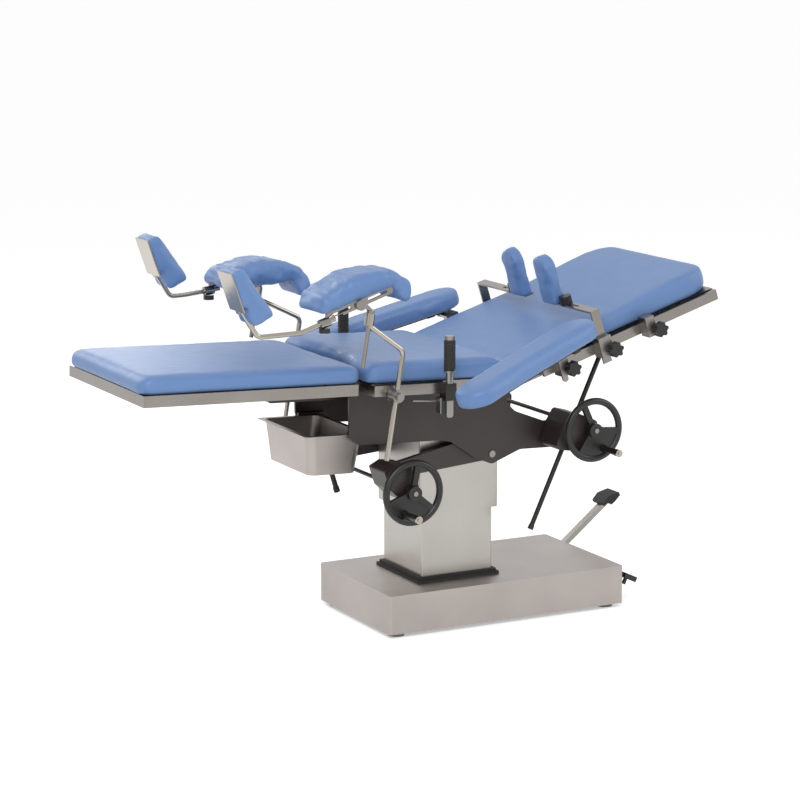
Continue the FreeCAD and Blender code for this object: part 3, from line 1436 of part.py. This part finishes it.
export("back_handwheel", [make_handwheel(back_wheel_x, back_wheel_z, back_wheel_turn, back_crank_angle,
                                         -back_gearbox_far_y - cheek_thickness)])
export("back_crank", [make_crank(back_wheel_x, back_wheel_z, back_crank_angle)])
export("back_screws", [make_screw(back_line, -back_screw_y, back_screw_radius),
                       make_screw(back_line, back_screw_y, back_screw_radius)])
export("arm_knob", [make_near_knob(arm_clamp_s)])
export("shoulder_knob", [make_near_knob(shoulder_clamp_s)])
export("spare_knob", [make_near_knob(spare_clamp_s)])
for name, side, yaw, reach, pad_y, barrel_place, hub, tilt, slope, knee, top in (
        ("near", -1, near_arm_yaw, near_arm_reach, near_shoulder_y, near_barrel, near_hub, near_bar_tilt,
         near_rod_slope, near_foot_knee, near_foot_top),
        ("far", 1, far_arm_yaw, far_arm_reach, far_shoulder_y, far_barrel, far_hub, far_bar_tilt,
         far_rod_slope, far_foot_knee, far_foot_top)):
    export("arm_plate_" + name, [make_arm_plate(yaw, reach, side)])
    export("arm_pad_" + name, [make_arm_pad(yaw, reach, side)])
    export("shoulder_bracket_" + name, [make_shoulder_bracket(pad_y, side)])
    export("shoulder_pad_" + name, [make_shoulder_pad(pad_y, side)])
    export("leg_post_" + name, [make_leg_post(barrel_place, side)])
    export("crutch_bracket_" + name, [make_crutch_bracket(barrel_place, hub, tilt, slope, side)])
    export("crutch_pad_" + name, [make_crutch_pad(hub, tilt, side)])
    export("foot_rest_" + name, [make_foot_rest(hub, tilt, slope, knee, top, side)])
    export("foot_pad_" + name, [make_foot_pad(knee, top, side)])
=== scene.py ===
import math

import bmesh
import bpy
import numpy as np
from mathutils import Matrix, Vector, noise as ripple


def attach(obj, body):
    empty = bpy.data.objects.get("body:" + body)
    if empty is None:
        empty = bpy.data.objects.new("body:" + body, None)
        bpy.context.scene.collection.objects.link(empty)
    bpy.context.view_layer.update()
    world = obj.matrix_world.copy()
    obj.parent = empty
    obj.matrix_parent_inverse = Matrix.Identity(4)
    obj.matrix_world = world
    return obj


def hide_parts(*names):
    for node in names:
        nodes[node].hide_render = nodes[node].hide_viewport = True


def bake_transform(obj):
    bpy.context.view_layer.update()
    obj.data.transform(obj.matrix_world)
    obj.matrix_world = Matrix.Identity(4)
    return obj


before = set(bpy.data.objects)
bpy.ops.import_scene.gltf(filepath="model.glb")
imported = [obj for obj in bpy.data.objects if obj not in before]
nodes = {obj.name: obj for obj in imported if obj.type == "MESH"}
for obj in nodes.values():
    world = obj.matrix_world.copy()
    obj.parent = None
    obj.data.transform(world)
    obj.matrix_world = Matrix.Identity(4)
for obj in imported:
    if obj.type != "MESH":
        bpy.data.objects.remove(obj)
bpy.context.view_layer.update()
scene = bpy.context.scene
print("frame loaded")


# camera where the photograph was taken from
view = {"location": (-3.869, -6.915, 2.130), "target": (-0.241, 0.0, 0.647), "lens": 122.66}
camera = bpy.data.objects.new("camera", bpy.data.cameras.new("camera"))
scene.collection.objects.link(camera)
camera.location = view["location"]
camera.rotation_euler = (Vector(view["target"]) - camera.location).to_track_quat("-Z", "Y").to_euler()
camera.data.lens = view["lens"]
camera.data.sensor_width = 36
camera.data.clip_end = 400
scene.camera = camera
scene.view_settings.view_transform = "Standard"


# materials
def linear(hexColour):
    values = [int(hexColour[i:i + 2], 16) / 255 for i in (1, 3, 5)]
    return [v / 12.92 if v <= 0.04045 else ((v + 0.055) / 1.055) ** 2.4 for v in values] + [1]


def addNode(tree, kind, inputs=None, **settings):
    node = tree.nodes.new("ShaderNode" + kind)
    for key, value in settings.items():
        setattr(node, key, value)
    for key, value in (inputs or {}).items():
        if isinstance(value, bpy.types.NodeSocket):
            tree.links.new(value, node.inputs[key])
        else:
            node.inputs[key].default_value = value
    return node


def newMaterial(name):
    material = bpy.data.materials.new(name)
    material.use_nodes = True
    tree = material.node_tree
    shader = tree.nodes["Principled BSDF"]
    place = addNode(tree, "TexCoord").outputs["Object"]
    return material, tree, shader, place


def millimetres(size):
    return 1000 / size  # noise scale whose features are about that many millimetres apart


def noise(tree, place, size, detail=3, stretch=None):
    if stretch:
        place = addNode(tree, "Mapping", {"Vector": place, "Scale": stretch}).outputs["Vector"]
    inputs = {"Vector": place, "Scale": millimetres(size), "Detail": detail}
    return addNode(tree, "TexNoise", inputs).outputs["Fac"]


def mixNumber(tree, factor, low, high):
    return addNode(tree, "Mix", {0: factor, 2: low, 3: high}).outputs[0]


def mixColour(tree, factor, low, high):
    return addNode(tree, "Mix", {0: factor, 6: low, 7: high}, data_type="RGBA").outputs[2]


def calculate(tree, operation, first, second):
    return addNode(tree, "Math", {0: first, 1: second}, operation=operation).outputs[0]


def measure(tree, operation, first, second):
    return addNode(tree, "VectorMath", {0: first, 1: second}, operation=operation).outputs["Value"]


def insideTests(tree, place, tests):
    # 1 where every test of any one group holds
    # a plane test is (direction, over), a ball test is (centre, "within", radius)
    total = None
    for group in tests:
        part = None
        for test in group:
            if len(test) == 3:
                value = calculate(tree, "LESS_THAN", measure(tree, "DISTANCE", place, test[0]), test[2])
            else:
                value = calculate(tree, "GREATER_THAN", measure(tree, "DOT_PRODUCT", place, test[0]), test[1])
            part = value if part is None else calculate(tree, "MULTIPLY", part, value)
        total = part if total is None else calculate(tree, "MAXIMUM", total, part)
    return total


finishes = {
    # satin stainless sheet, brushed one way: soft streaks, grey and a little warm
    "satinSheet": {"colour": "#B2ABA7", "dark": "#9E9793", "metallic": 1, "rough": (0.34, 0.46), "grain": 1.2,
                   "stretch": (0.02, 1, 1), "bump": 0.05},
    # the same sheet on the column, brushed upward and brighter
    "columnSheet": {"colour": "#B5B1AC", "dark": "#A39F9A", "metallic": 1, "rough": (0.24, 0.36),
                    "grain": 1.0, "stretch": (1, 1, 0.02), "bump": 0.05},
    # drawn and polished stainless rail
    "polishedRail": {"colour": "#98938E", "dark": "#817C77", "metallic": 1, "rough": (0.2, 0.32),
                     "grain": 1.0, "stretch": (0.03, 1, 1), "bump": 0.04},
    # chromed round bar, nearly mirror bright, with faint finger smears
    "chromedBar": {"colour": "#ADA79E", "dark": "#99938A", "metallic": 1, "rough": (0.1, 0.22), "grain": 18,
                   "stretch": None, "bump": 0.01},
    # bright cast and turned zinc-plated steel
    "platedSteel": {"colour": "#9B9895", "dark": "#83807B", "metallic": 1, "rough": (0.26, 0.42), "grain": 3,
                    "stretch": None, "bump": 0.03},
    # black-oxide steel of the screws and cross shafts, dark with oil
    "oiledSteel": {"colour": "#3E3A37", "dark": "#2F2C2A", "metallic": 1, "rough": (0.3, 0.45), "grain": 3,
                   "stretch": None, "bump": 0.03},
    # brown-black stove enamel over steel plate: low gloss, faint orange peel
    "darkEnamel": {"colour": "#352C29", "dark": "#2A2321", "metallic": 0, "rough": (0.34, 0.46), "grain": 2.4,
                   "stretch": None, "bump": 0.05},
    # moulded phenolic handwheels, knobs and grips: black, slightly polished by hands
    "mouldedBlack": {"colour": "#181615", "dark": "#100F0E", "metallic": 0, "rough": (0.3, 0.45), "grain": 3,
                     "stretch": None, "bump": 0.04},
    # moulded black rubber: matt and dusty
    "blackRubber": {"colour": "#1E1C1B", "dark": "#141313", "metallic": 0, "rough": (0.6, 0.78), "grain": 1.6,
                    "stretch": None, "bump": 0.1},
    # grey moulded nylon of the feet
    "greyNylon": {"colour": "#8C8B89", "dark": "#7B7A78", "metallic": 0, "rough": (0.45, 0.6), "grain": 2,
                  "stretch": None, "bump": 0.05},
    # grey hammered enamel on the chassis and inner tubes, which hardly show
    "greyEnamel": {"colour": "#6E6D6B", "dark": "#5C5B59", "metallic": 0, "rough": (0.4, 0.55), "grain": 4,
                   "stretch": None, "bump": 0.08},
}


def makeFinish(name, first, second=None, tests=None):
    values = finishes[first]
    material, tree, shader, place = newMaterial(name)
    streak = noise(tree, place, values["grain"], 4, values["stretch"])
    cloud = noise(tree, place, 160, 3)
    colour = mixColour(tree, cloud, linear(values["dark"]), linear(values["colour"]))
    rough = mixNumber(tree, streak, *values["rough"])
    metal = values["metallic"]
    if second:
        other = finishes[second]
        inside = insideTests(tree, place, tests)
        otherColour = mixColour(tree, cloud, linear(other["dark"]), linear(other["colour"]))
        colour = mixColour(tree, inside, colour, otherColour)
        rough = mixNumber(tree, inside, rough, sum(other["rough"]) / 2)
        metal = mixNumber(tree, inside, float(metal), float(other["metallic"]))
        tree.links.new(metal, shader.inputs["Metallic"])
    else:
        shader.inputs["Metallic"].default_value = metal
    tree.links.new(colour, shader.inputs["Base Color"])
    tree.links.new(rough, shader.inputs["Roughness"])
    bump = addNode(tree, "Bump", {"Height": streak, "Strength": values["bump"], "Distance": 0.0006})
    tree.links.new(bump.outputs["Normal"], shader.inputs["Normal"])
    return material


vinyl = {"colour": "#6384B6", "shade": "#5979AA", "grainSize": 2.2, "creaseSize": 26, "rough": (0.4, 0.52),
         "grainBump": 0.16, "creaseBump": 0.22}


def makeVinyl(name, creases):
    # PVC-coated upholstery cloth, embossed with a fine skin grain: soft sheen and slight creases
    # the real grain is about 0.7 mm and is drawn at 2.2 mm so that it shows
    material, tree, shader, place = newMaterial(name)
    grainInputs = {"Vector": place, "Scale": millimetres(vinyl["grainSize"])}
    grain = addNode(tree, "TexVoronoi", grainInputs).outputs["Distance"]
    fold = noise(tree, place, vinyl["creaseSize"], 2, (0.5, 1, 1))
    cloud = noise(tree, place, 220, 2)
    colour = mixColour(tree, cloud, linear(vinyl["shade"]), linear(vinyl["colour"]))
    tree.links.new(colour, shader.inputs["Base Color"])
    tree.links.new(mixNumber(tree, fold, *vinyl["rough"]), shader.inputs["Roughness"])
    shader.inputs["IOR"].default_value = 1.5
    shader.inputs["Sheen Weight"].default_value = 0.08
    creaseBump = vinyl["creaseBump"] * creases
    coarse = addNode(tree, "Bump", {"Height": fold, "Strength": creaseBump, "Distance": 0.004})
    fine = addNode(tree, "Bump", {"Height": grain, "Strength": vinyl["grainBump"], "Distance": 0.0004,
                                  "Normal": coarse.outputs["Normal"]})
    tree.links.new(fine.outputs["Normal"], shader.inputs["Normal"])
    return material


backTurn = math.radians(17.3)
backHinge = Vector((-0.0228, 0, 0.73476))
backAlong = Vector((math.cos(backTurn), 0, math.sin(backTurn)))
backUp = Vector((-math.sin(backTurn), 0, math.cos(backTurn)))


def onBack(along, y, up):
    # a point in metres from millimetres along the back, across it and above its hinge line
    spot = backHinge + backAlong * (along / 1000) + backUp * (up / 1000)
    return (spot.x, y / 1000, spot.z)


gripSteel = [[((0, 0, -1), -0.789)], [((0, 0, 1), 0.876)]]
partedFinishes = {
    # finish of most of the node, finish of the rest, and where the rest is
    "tilt_handwheel": ("mouldedBlack", "platedSteel", [[((0, -1, 0), 0.318)], [((0, 1, 0), -0.286)]]),
    "back_handwheel": ("mouldedBlack", "platedSteel", [[((0, -1, 0), 0.318)], [((0, 1, 0), -0.286)]]),
    "tilt_crank": ("mouldedBlack", "chromedBar", [[((0, -1, 0), 0.390)]]),
    "back_crank": ("mouldedBlack", "chromedBar", [[((0, -1, 0), 0.390)]]),
    "back_clamps": ("platedSteel", "mouldedBlack", [[((0, 1, 0), 0.3492)]]),
    "seat_clamps": ("platedSteel", "mouldedBlack", [[((1, 0, 0), -0.285), ((-1, 0, 0), 0.235)]]),
    "hand_grip_near": ("mouldedBlack", "platedSteel", gripSteel),
    "hand_grip_far": ("mouldedBlack", "platedSteel", gripSteel),
    "shoulder_bracket_near": ("polishedRail", "mouldedBlack", [[(onBack(283, -178, 124), "within", 0.025)]]),
    "shoulder_bracket_far": ("polishedRail", "mouldedBlack", [[(onBack(283, 124, 124), "within", 0.025)]]),
    "crutch_bracket_near": ("polishedRail", "mouldedBlack", [[((-0.6463, -0.330, 0.930), "within", 0.019)]]),
    "crutch_bracket_far": ("polishedRail", "mouldedBlack", [[((-0.6997, 0.330, 0.9375), "within", 0.019)]]),
}

finishNodes = {
    "satinSheet": ["base_cover", "basin"],
    "columnSheet": ["lower_cover", "upper_cover"],
    "greyEnamel": ["base_chassis", "column_tube", "hydraulic_cylinder", "inner_tube"],
    "greyNylon": ["floor_feet"],
    "blackRubber": ["column_gasket", "pump_pad"],
    "darkEnamel": ["column_head", "tilt_gearbox", "tilt_nut_box", "side_plates", "carrier_frame",
                   "back_gearboxes"],
    "oiledSteel": ["tilt_cross_shaft", "tilt_screw", "back_cross_shaft", "back_screws"],
    "platedSteel": ["tilt_shaft"],
    "polishedRail": ["seat_frame", "leg_frame", "back_frame", "pump_lever"],
    "chromedBar": ["ram"],
    "mouldedBlack": ["arm_knob", "shoulder_knob", "spare_knob", "release_pedal"],
}
for side in ("near", "far"):
    finishNodes["mouldedBlack"].append("arm_plate_" + side)
    finishNodes["chromedBar"] += ["leg_post_" + side, "foot_rest_" + side]
nodeFinishes = {node: finish for finish, group in finishNodes.items() for node in group}

made = {}
for name, node in nodes.items():
    node.data.materials.clear()
    if name in partedFinishes:
        first, second, tests = partedFinishes[name]
        node.data.materials.append(makeFinish(name + "Finish", first, second, tests))
        continue
    kind = nodeFinishes.get(name, "platedSteel")
    if kind not in made:
        made[kind] = makeFinish(kind, kind)
    node.data.materials.append(made[kind])
print("finishes on the CAD nodes")


# cushions
firmVinyl = makeVinyl("firmVinyl", 0.3)
looseVinyl = makeVinyl("looseVinyl", 1.2)


def evaluatedMesh(piece):
    graph = bpy.context.evaluated_depsgraph_get()
    return bpy.data.meshes.new_from_object(piece.evaluated_get(graph))


def points(mesh):
    flat = np.empty(len(mesh.vertices) * 3)
    mesh.vertices.foreach_get("co", flat)
    return flat.reshape(-1, 3)


# the thicker head end of the back cushion, in millimetres along the back and above its hinge line
pillow = {"start": 330, "full": 640, "low": 12, "high": 55, "rise": 16}
# the back cushion reaches down into the notch over the hinge line, as the foam does
notch = {"section": [(-8, 15), (12, 11), (60, 58), (60, 61.3), (-17, 61.3), (-22, 56)], "halfWidth": 288}


def addNotch(shape):
    edge = notch["halfWidth"]
    rows = [[shape.verts.new(onBack(s, y, n)) for s, n in notch["section"]] for y in (-edge, edge)]
    count = len(rows[0])
    faces = [shape.faces.new(rows[0]), shape.faces.new(rows[1][::-1])]
    for i in range(count):
        k = (i + 1) % count
        faces.append(shape.faces.new((rows[0][k], rows[0][i], rows[1][i], rows[1][k])))
    bmesh.ops.recalc_face_normals(shape, faces=faces)


def levelled(values):
    up = Vector(values["up"])
    level = up.rotation_difference(Vector((0, 0, 1))).to_matrix().to_4x4()
    return Matrix.Rotation(math.radians(values.get("yaw", 0)), 4, "Z") @ level


def remeshed(source, name, values):
    shape = bmesh.new()
    shape.from_mesh(source.data)
    bmesh.ops.remove_doubles(shape, verts=shape.verts, dist=1e-5)
    if name == "backCushion":
        addNotch(shape)
    mesh = bpy.data.meshes.new(name)
    shape.to_mesh(mesh)
    shape.free()
    square = levelled(values)
    mesh.transform(square)  # square to the voxels, so that they leave no steps along the edges
    piece = bpy.data.objects.new(name, mesh)
    scene.collection.objects.link(piece)
    remesh = piece.modifiers.new("remesh", "REMESH")
    remesh.mode = "VOXEL"
    remesh.voxel_size = values["voxel"]
    smooth = piece.modifiers.new("smooth", "SMOOTH")
    smooth.factor = 0.6
    smooth.iterations = values["rounding"]
    mesh = evaluatedMesh(piece)
    mesh.transform(square.inverted())
    piece.modifiers.clear()
    piece.data = mesh
    normals = np.empty(len(mesh.vertices) * 3)
    mesh.vertices.foreach_get("normal", normals)
    mesh.vertices.foreach_set("co", (points(mesh) - normals.reshape(-1, 3) * values["inset"]).ravel())
    mesh.update()
    return piece


coverCloth = {"quality": 5, "mass": 0.3, "stiffness": 20, "shear": 8}


def inflate(piece, values):
    # vinyl cover under the foam's pressure, with each point's travel capped
    start = points(piece.data)
    cloth = piece.modifiers.new("cloth", "CLOTH")
    settings = cloth.settings
    settings.quality = coverCloth["quality"]
    settings.mass = coverCloth["mass"]
    settings.tension_stiffness = coverCloth["stiffness"]
    settings.compression_stiffness = coverCloth["stiffness"]
    settings.shear_stiffness = coverCloth["shear"]
    settings.bending_stiffness = values["bending"]
    settings.use_pressure = True
    settings.uniform_pressure_force = values["pressure"]
    settings.shrink_min = -values["slack"]
    settings.effector_weights.gravity = 0
    cloth.collision_settings.use_collision = False
    cloth.point_cache.frame_end = values["frames"]
    for step in range(1, values["frames"] + 1):
        scene.frame_set(step)
    end = points(evaluatedMesh(piece))
    piece.modifiers.clear()
    scene.frame_set(1)
    move = end - start
    length = np.linalg.norm(move, axis=1, keepdims=True)
    move *= values["cap"] * np.tanh(length / values["cap"]) / np.maximum(length, 1e-9)
    piece.data.vertices.foreach_set("co", (start + move).ravel())
    piece.data.update()


def gather(piece, values):
    # the pulled vinyl's gathers: long ripples across the pad, strongest near its two ends
    place = points(piece.data)
    normals = np.empty(len(place) * 3)
    piece.data.vertices.foreach_get("normal", normals)
    low, high = place[:, 0].min(), place[:, 0].max()
    ends = np.abs((place[:, 0] - low) / (high - low) * 2 - 1)
    height = np.array([ripple.noise((x * 52, y * 12, z * 30)) for x, y, z in place])
    height = np.maximum(height, -0.25) * values["gather"] * (0.45 + 0.8 * ends)
    piece.data.vertices.foreach_set("co", (place + normals.reshape(-1, 3) * height[:, None]).ravel())
    piece.data.update()


def crown(piece):
    # the foam is thicker toward the head end, like a low pillow
    place = points(piece.data)
    away = place - np.array(backHinge)
    along = away @ np.array(backAlong) * 1000
    height = away @ np.array(backUp) * 1000
    share = np.clip((along - pillow["start"]) / (pillow["full"] - pillow["start"]), 0, 1)
    share = share * share * (3 - 2 * share)
    top = np.clip((height - pillow["low"]) / (pillow["high"] - pillow["low"]), 0, 1)
    lift = share * top * pillow["rise"] / 1000
    piece.data.vertices.foreach_set("co", (place + np.outer(lift, np.array(backUp))).ravel())
    piece.data.update()


def seatOn(piece, up, base):
    # keeps the underside flat on what carries it
    place = points(piece.data)
    height = place @ np.array(up)
    low = np.minimum(height - base, 0)
    piece.data.vertices.foreach_set("co", (place - np.outer(low, np.array(up))).ravel())
    piece.data.update()


def makeCushion(name, values):
    source = nodes[values["node"]]
    piece = remeshed(source, name, values)
    inflate(piece, values)
    if values["gather"]:
        gather(piece, values)
    if name == "backCushion":
        crown(piece)
    up = Vector(values["up"])
    base = min(up.dot(v.co) for v in source.data.vertices)
    seatOn(piece, up, base)
    smooth = piece.modifiers.new("smooth", "SMOOTH")
    smooth.factor = 0.5
    smooth.iterations = values["smooth"]
    subdivision = piece.modifiers.new("subdivision", "SUBSURF")
    subdivision.levels = 1
    subdivision.render_levels = 1
    mesh = evaluatedMesh(piece)
    piece.modifiers.clear()
    piece.data = mesh
    mesh.shade_smooth()
    mesh.materials.clear()
    mesh.materials.append(looseVinyl if values["loose"] else firmVinyl)
    if name == "backCushion":
        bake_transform(piece)
    else:
        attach(piece, values["body"])
    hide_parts(values["node"])
    return piece


def leaning(degrees):
    # the upward direction of a pad whose head end is raised by so many degrees
    return (-math.sin(math.radians(degrees)), 0, math.cos(math.radians(degrees)))


footLean = math.radians(19)
footUp = (math.cos(footLean), 0, math.sin(footLean))  # square to the foot plates
tiltUp = leaning(-2)  # the seat and the leg section slope down toward the head by 2 degrees
armYaw = {"Near": -17, "Far": 14.5}
firm = {"voxel": 0.008, "inset": -0.003, "rounding": 16, "gather": 0, "cap": 0.006, "pressure": 4,
        "bending": 2, "slack": 0.0, "frames": 14, "smooth": 2, "loose": False, "fill": 0.85}
soft = {"voxel": 0.005, "inset": -0.002, "rounding": 10, "gather": 0.004, "cap": 0.006, "pressure": 4,
        "bending": 0.6, "slack": 0.03, "frames": 16, "smooth": 1, "loose": True, "fill": 0.7}
cushions = {
    "legCushion": dict(firm, node="leg_pad", body="leg_section", up=tiltUp),
    "seatCushion": dict(firm, node="seat_pad", body="table", up=tiltUp),
    "backCushion": dict(firm, node="back_pad", body="back", up=tuple(backUp), inset=-0.001, cap=0.002),
}
for side in ("Near", "Far"):
    low = side.lower()
    arm = dict(firm, node="arm_pad_" + low, body="arm_rest_" + low, up=tuple(backUp), yaw=armYaw[side])
    shoulder = dict(soft, node="shoulder_pad_" + low, body="shoulder_support_" + low, up=tuple(backUp))
    crutch = dict(soft, node="crutch_pad_" + low, body="crutch_" + low, up=(0, 0, 1))
    foot = dict(soft, node="foot_pad_" + low, body="foot_rest_" + low, up=footUp)
    cushions["armCushion" + side] = dict(arm, voxel=0.006, rounding=16)
    cushions["shoulderCushion" + side] = shoulder
    cushions["crutchCushion" + side] = dict(crutch, slack=0.06, inset=-0.007, rounding=28, gather=0.006)
    cushions["footCushion" + side] = dict(foot, slack=0.01, rounding=6, gather=0.001)
for name, values in cushions.items():
    makeCushion(name, values)
    print("cushion", name)


# ribbed sleeves on the hand grips, turned as one profile
sleeve = {"x": -0.259, "y": 0.333, "low": 0.793, "high": 0.874, "core": 0.010, "radius": 0.0152,
          "rib": 0.0016, "ribs": 11, "ribSteps": 6, "steps": 40}


def sleeveProfile():
    # radius and height of each ring, closed onto the core at both ends
    length = sleeve["high"] - sleeve["low"]
    count = sleeve["ribs"] * sleeve["ribSteps"]
    profile = [(sleeve["core"], sleeve["low"])]
    for step in range(count + 1):
        share = step / count
        swell = abs(math.sin(math.pi * sleeve["ribs"] * share)) ** 0.6
        profile.append((sleeve["radius"] + sleeve["rib"] * swell, sleeve["low"] + length * share))
    return profile + [(sleeve["core"], sleeve["high"])]


def makeSleeve(name, side, body):
    profile = sleeveProfile()
    count = sleeve["steps"]
    verts = []
    for radius, height in profile:
        for step in range(count):
            turn = 2 * math.pi * step / count
            x = sleeve["x"] + radius * math.cos(turn)
            y = side * sleeve["y"] + radius * math.sin(turn)
            verts.append((x, y, height))
    faces = []
    for row in range(len(profile) - 1):
        below = row * count
        above = below + count
        for step in range(count):
            after = (step + 1) % count
            faces.append((below + step, below + after, above + after, above + step))
    last = (len(profile) - 1) * count
    faces.append(tuple(range(count))[::-1])
    faces.append(tuple(last + step for step in range(count)))
    mesh = bpy.data.meshes.new(name)
    mesh.from_pydata(verts, [], faces)
    mesh.shade_smooth()
    mesh.materials.append(made["blackRubber"])
    piece = bpy.data.objects.new(name, mesh)
    scene.collection.objects.link(piece)
    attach(piece, body)


makeSleeve("gripSleeveNear", -1, "hand_grip_near")
makeSleeve("gripSleeveFar", 1, "hand_grip_far")
print("grip sleeves")


# light and floor
studio = {"floor": "#F6F6F6", "floorGlow": 0.41, "floorHalf": 90, "floorHeight": -0.0005, "sky": 0.6,
          "backdrop": 1.0}
lamps = [
    # place, aim, size and watts of each soft box
    ((-2.6, -3.6, 3.6), (-0.1, 0, 0.6), 2.4, 115),
    ((3.2, -2.2, 2.6), (0.1, 0, 0.7), 2.0, 34),
    ((-1.9, 3.6, 3.0), (-0.5, 0, 0.8), 2.2, 52),
    ((0.3, 4.0, 1.6), (-0.9, 0, 0.8), 0.9, 12),
]


def seenRays(tree):
    # 1 for rays that show the background: from the camera, by reflection and through clear material
    path = addNode(tree, "LightPath").outputs
    direct = calculate(tree, "MAXIMUM", path["Is Camera Ray"], path["Is Glossy Ray"])
    return calculate(tree, "MAXIMUM", direct, path["Is Transmission Ray"])


half = studio["floorHalf"]
corners = [(-half, -half), (half, -half), (half, half), (-half, half)]
floorMesh = bpy.data.meshes.new("floor")
floorMesh.from_pydata([(x, y, studio["floorHeight"]) for x, y in corners], [], [(0, 1, 2, 3)])
floor = bpy.data.objects.new("floor", floorMesh)
scene.collection.objects.link(floor)
floorFinish, floorTree, floorShader, floorPlace = newMaterial("paleFloor")
floorShader.inputs["Base Color"].default_value = linear(studio["floor"])
floorShader.inputs["Roughness"].default_value = 0.9
floorShader.inputs["Specular IOR Level"].default_value = 0.1
floorShader.inputs["Emission Color"].default_value = (1, 1, 1, 1)
glow = mixNumber(floorTree, seenRays(floorTree), 0.0, studio["floorGlow"])
floorTree.links.new(glow, floorShader.inputs["Emission Strength"])
floorMesh.materials.append(floorFinish)

world = bpy.data.worlds.new("studio")
scene.world = world
world.use_nodes = True
skyTree = world.node_tree
background = skyTree.nodes["Background"]
background.inputs["Color"].default_value = (1, 1, 1, 1)
strength = mixNumber(skyTree, seenRays(skyTree), studio["sky"], studio["backdrop"])
skyTree.links.new(strength, background.inputs["Strength"])

for number, (place, aim, size, watts) in enumerate(lamps):
    lamp = bpy.data.lights.new("softBox%d" % number, "AREA")
    lamp.shape = "SQUARE"
    lamp.size = size
    lamp.energy = watts
    holder = bpy.data.objects.new("softBox%d" % number, lamp)
    scene.collection.objects.link(holder)
    holder.location = place
    holder.visible_camera = False
    holder.rotation_euler = (Vector(aim) - Vector(place)).to_track_quat("-Z", "Y").to_euler()
print("light and floor")

bpy.context.view_layer.update()
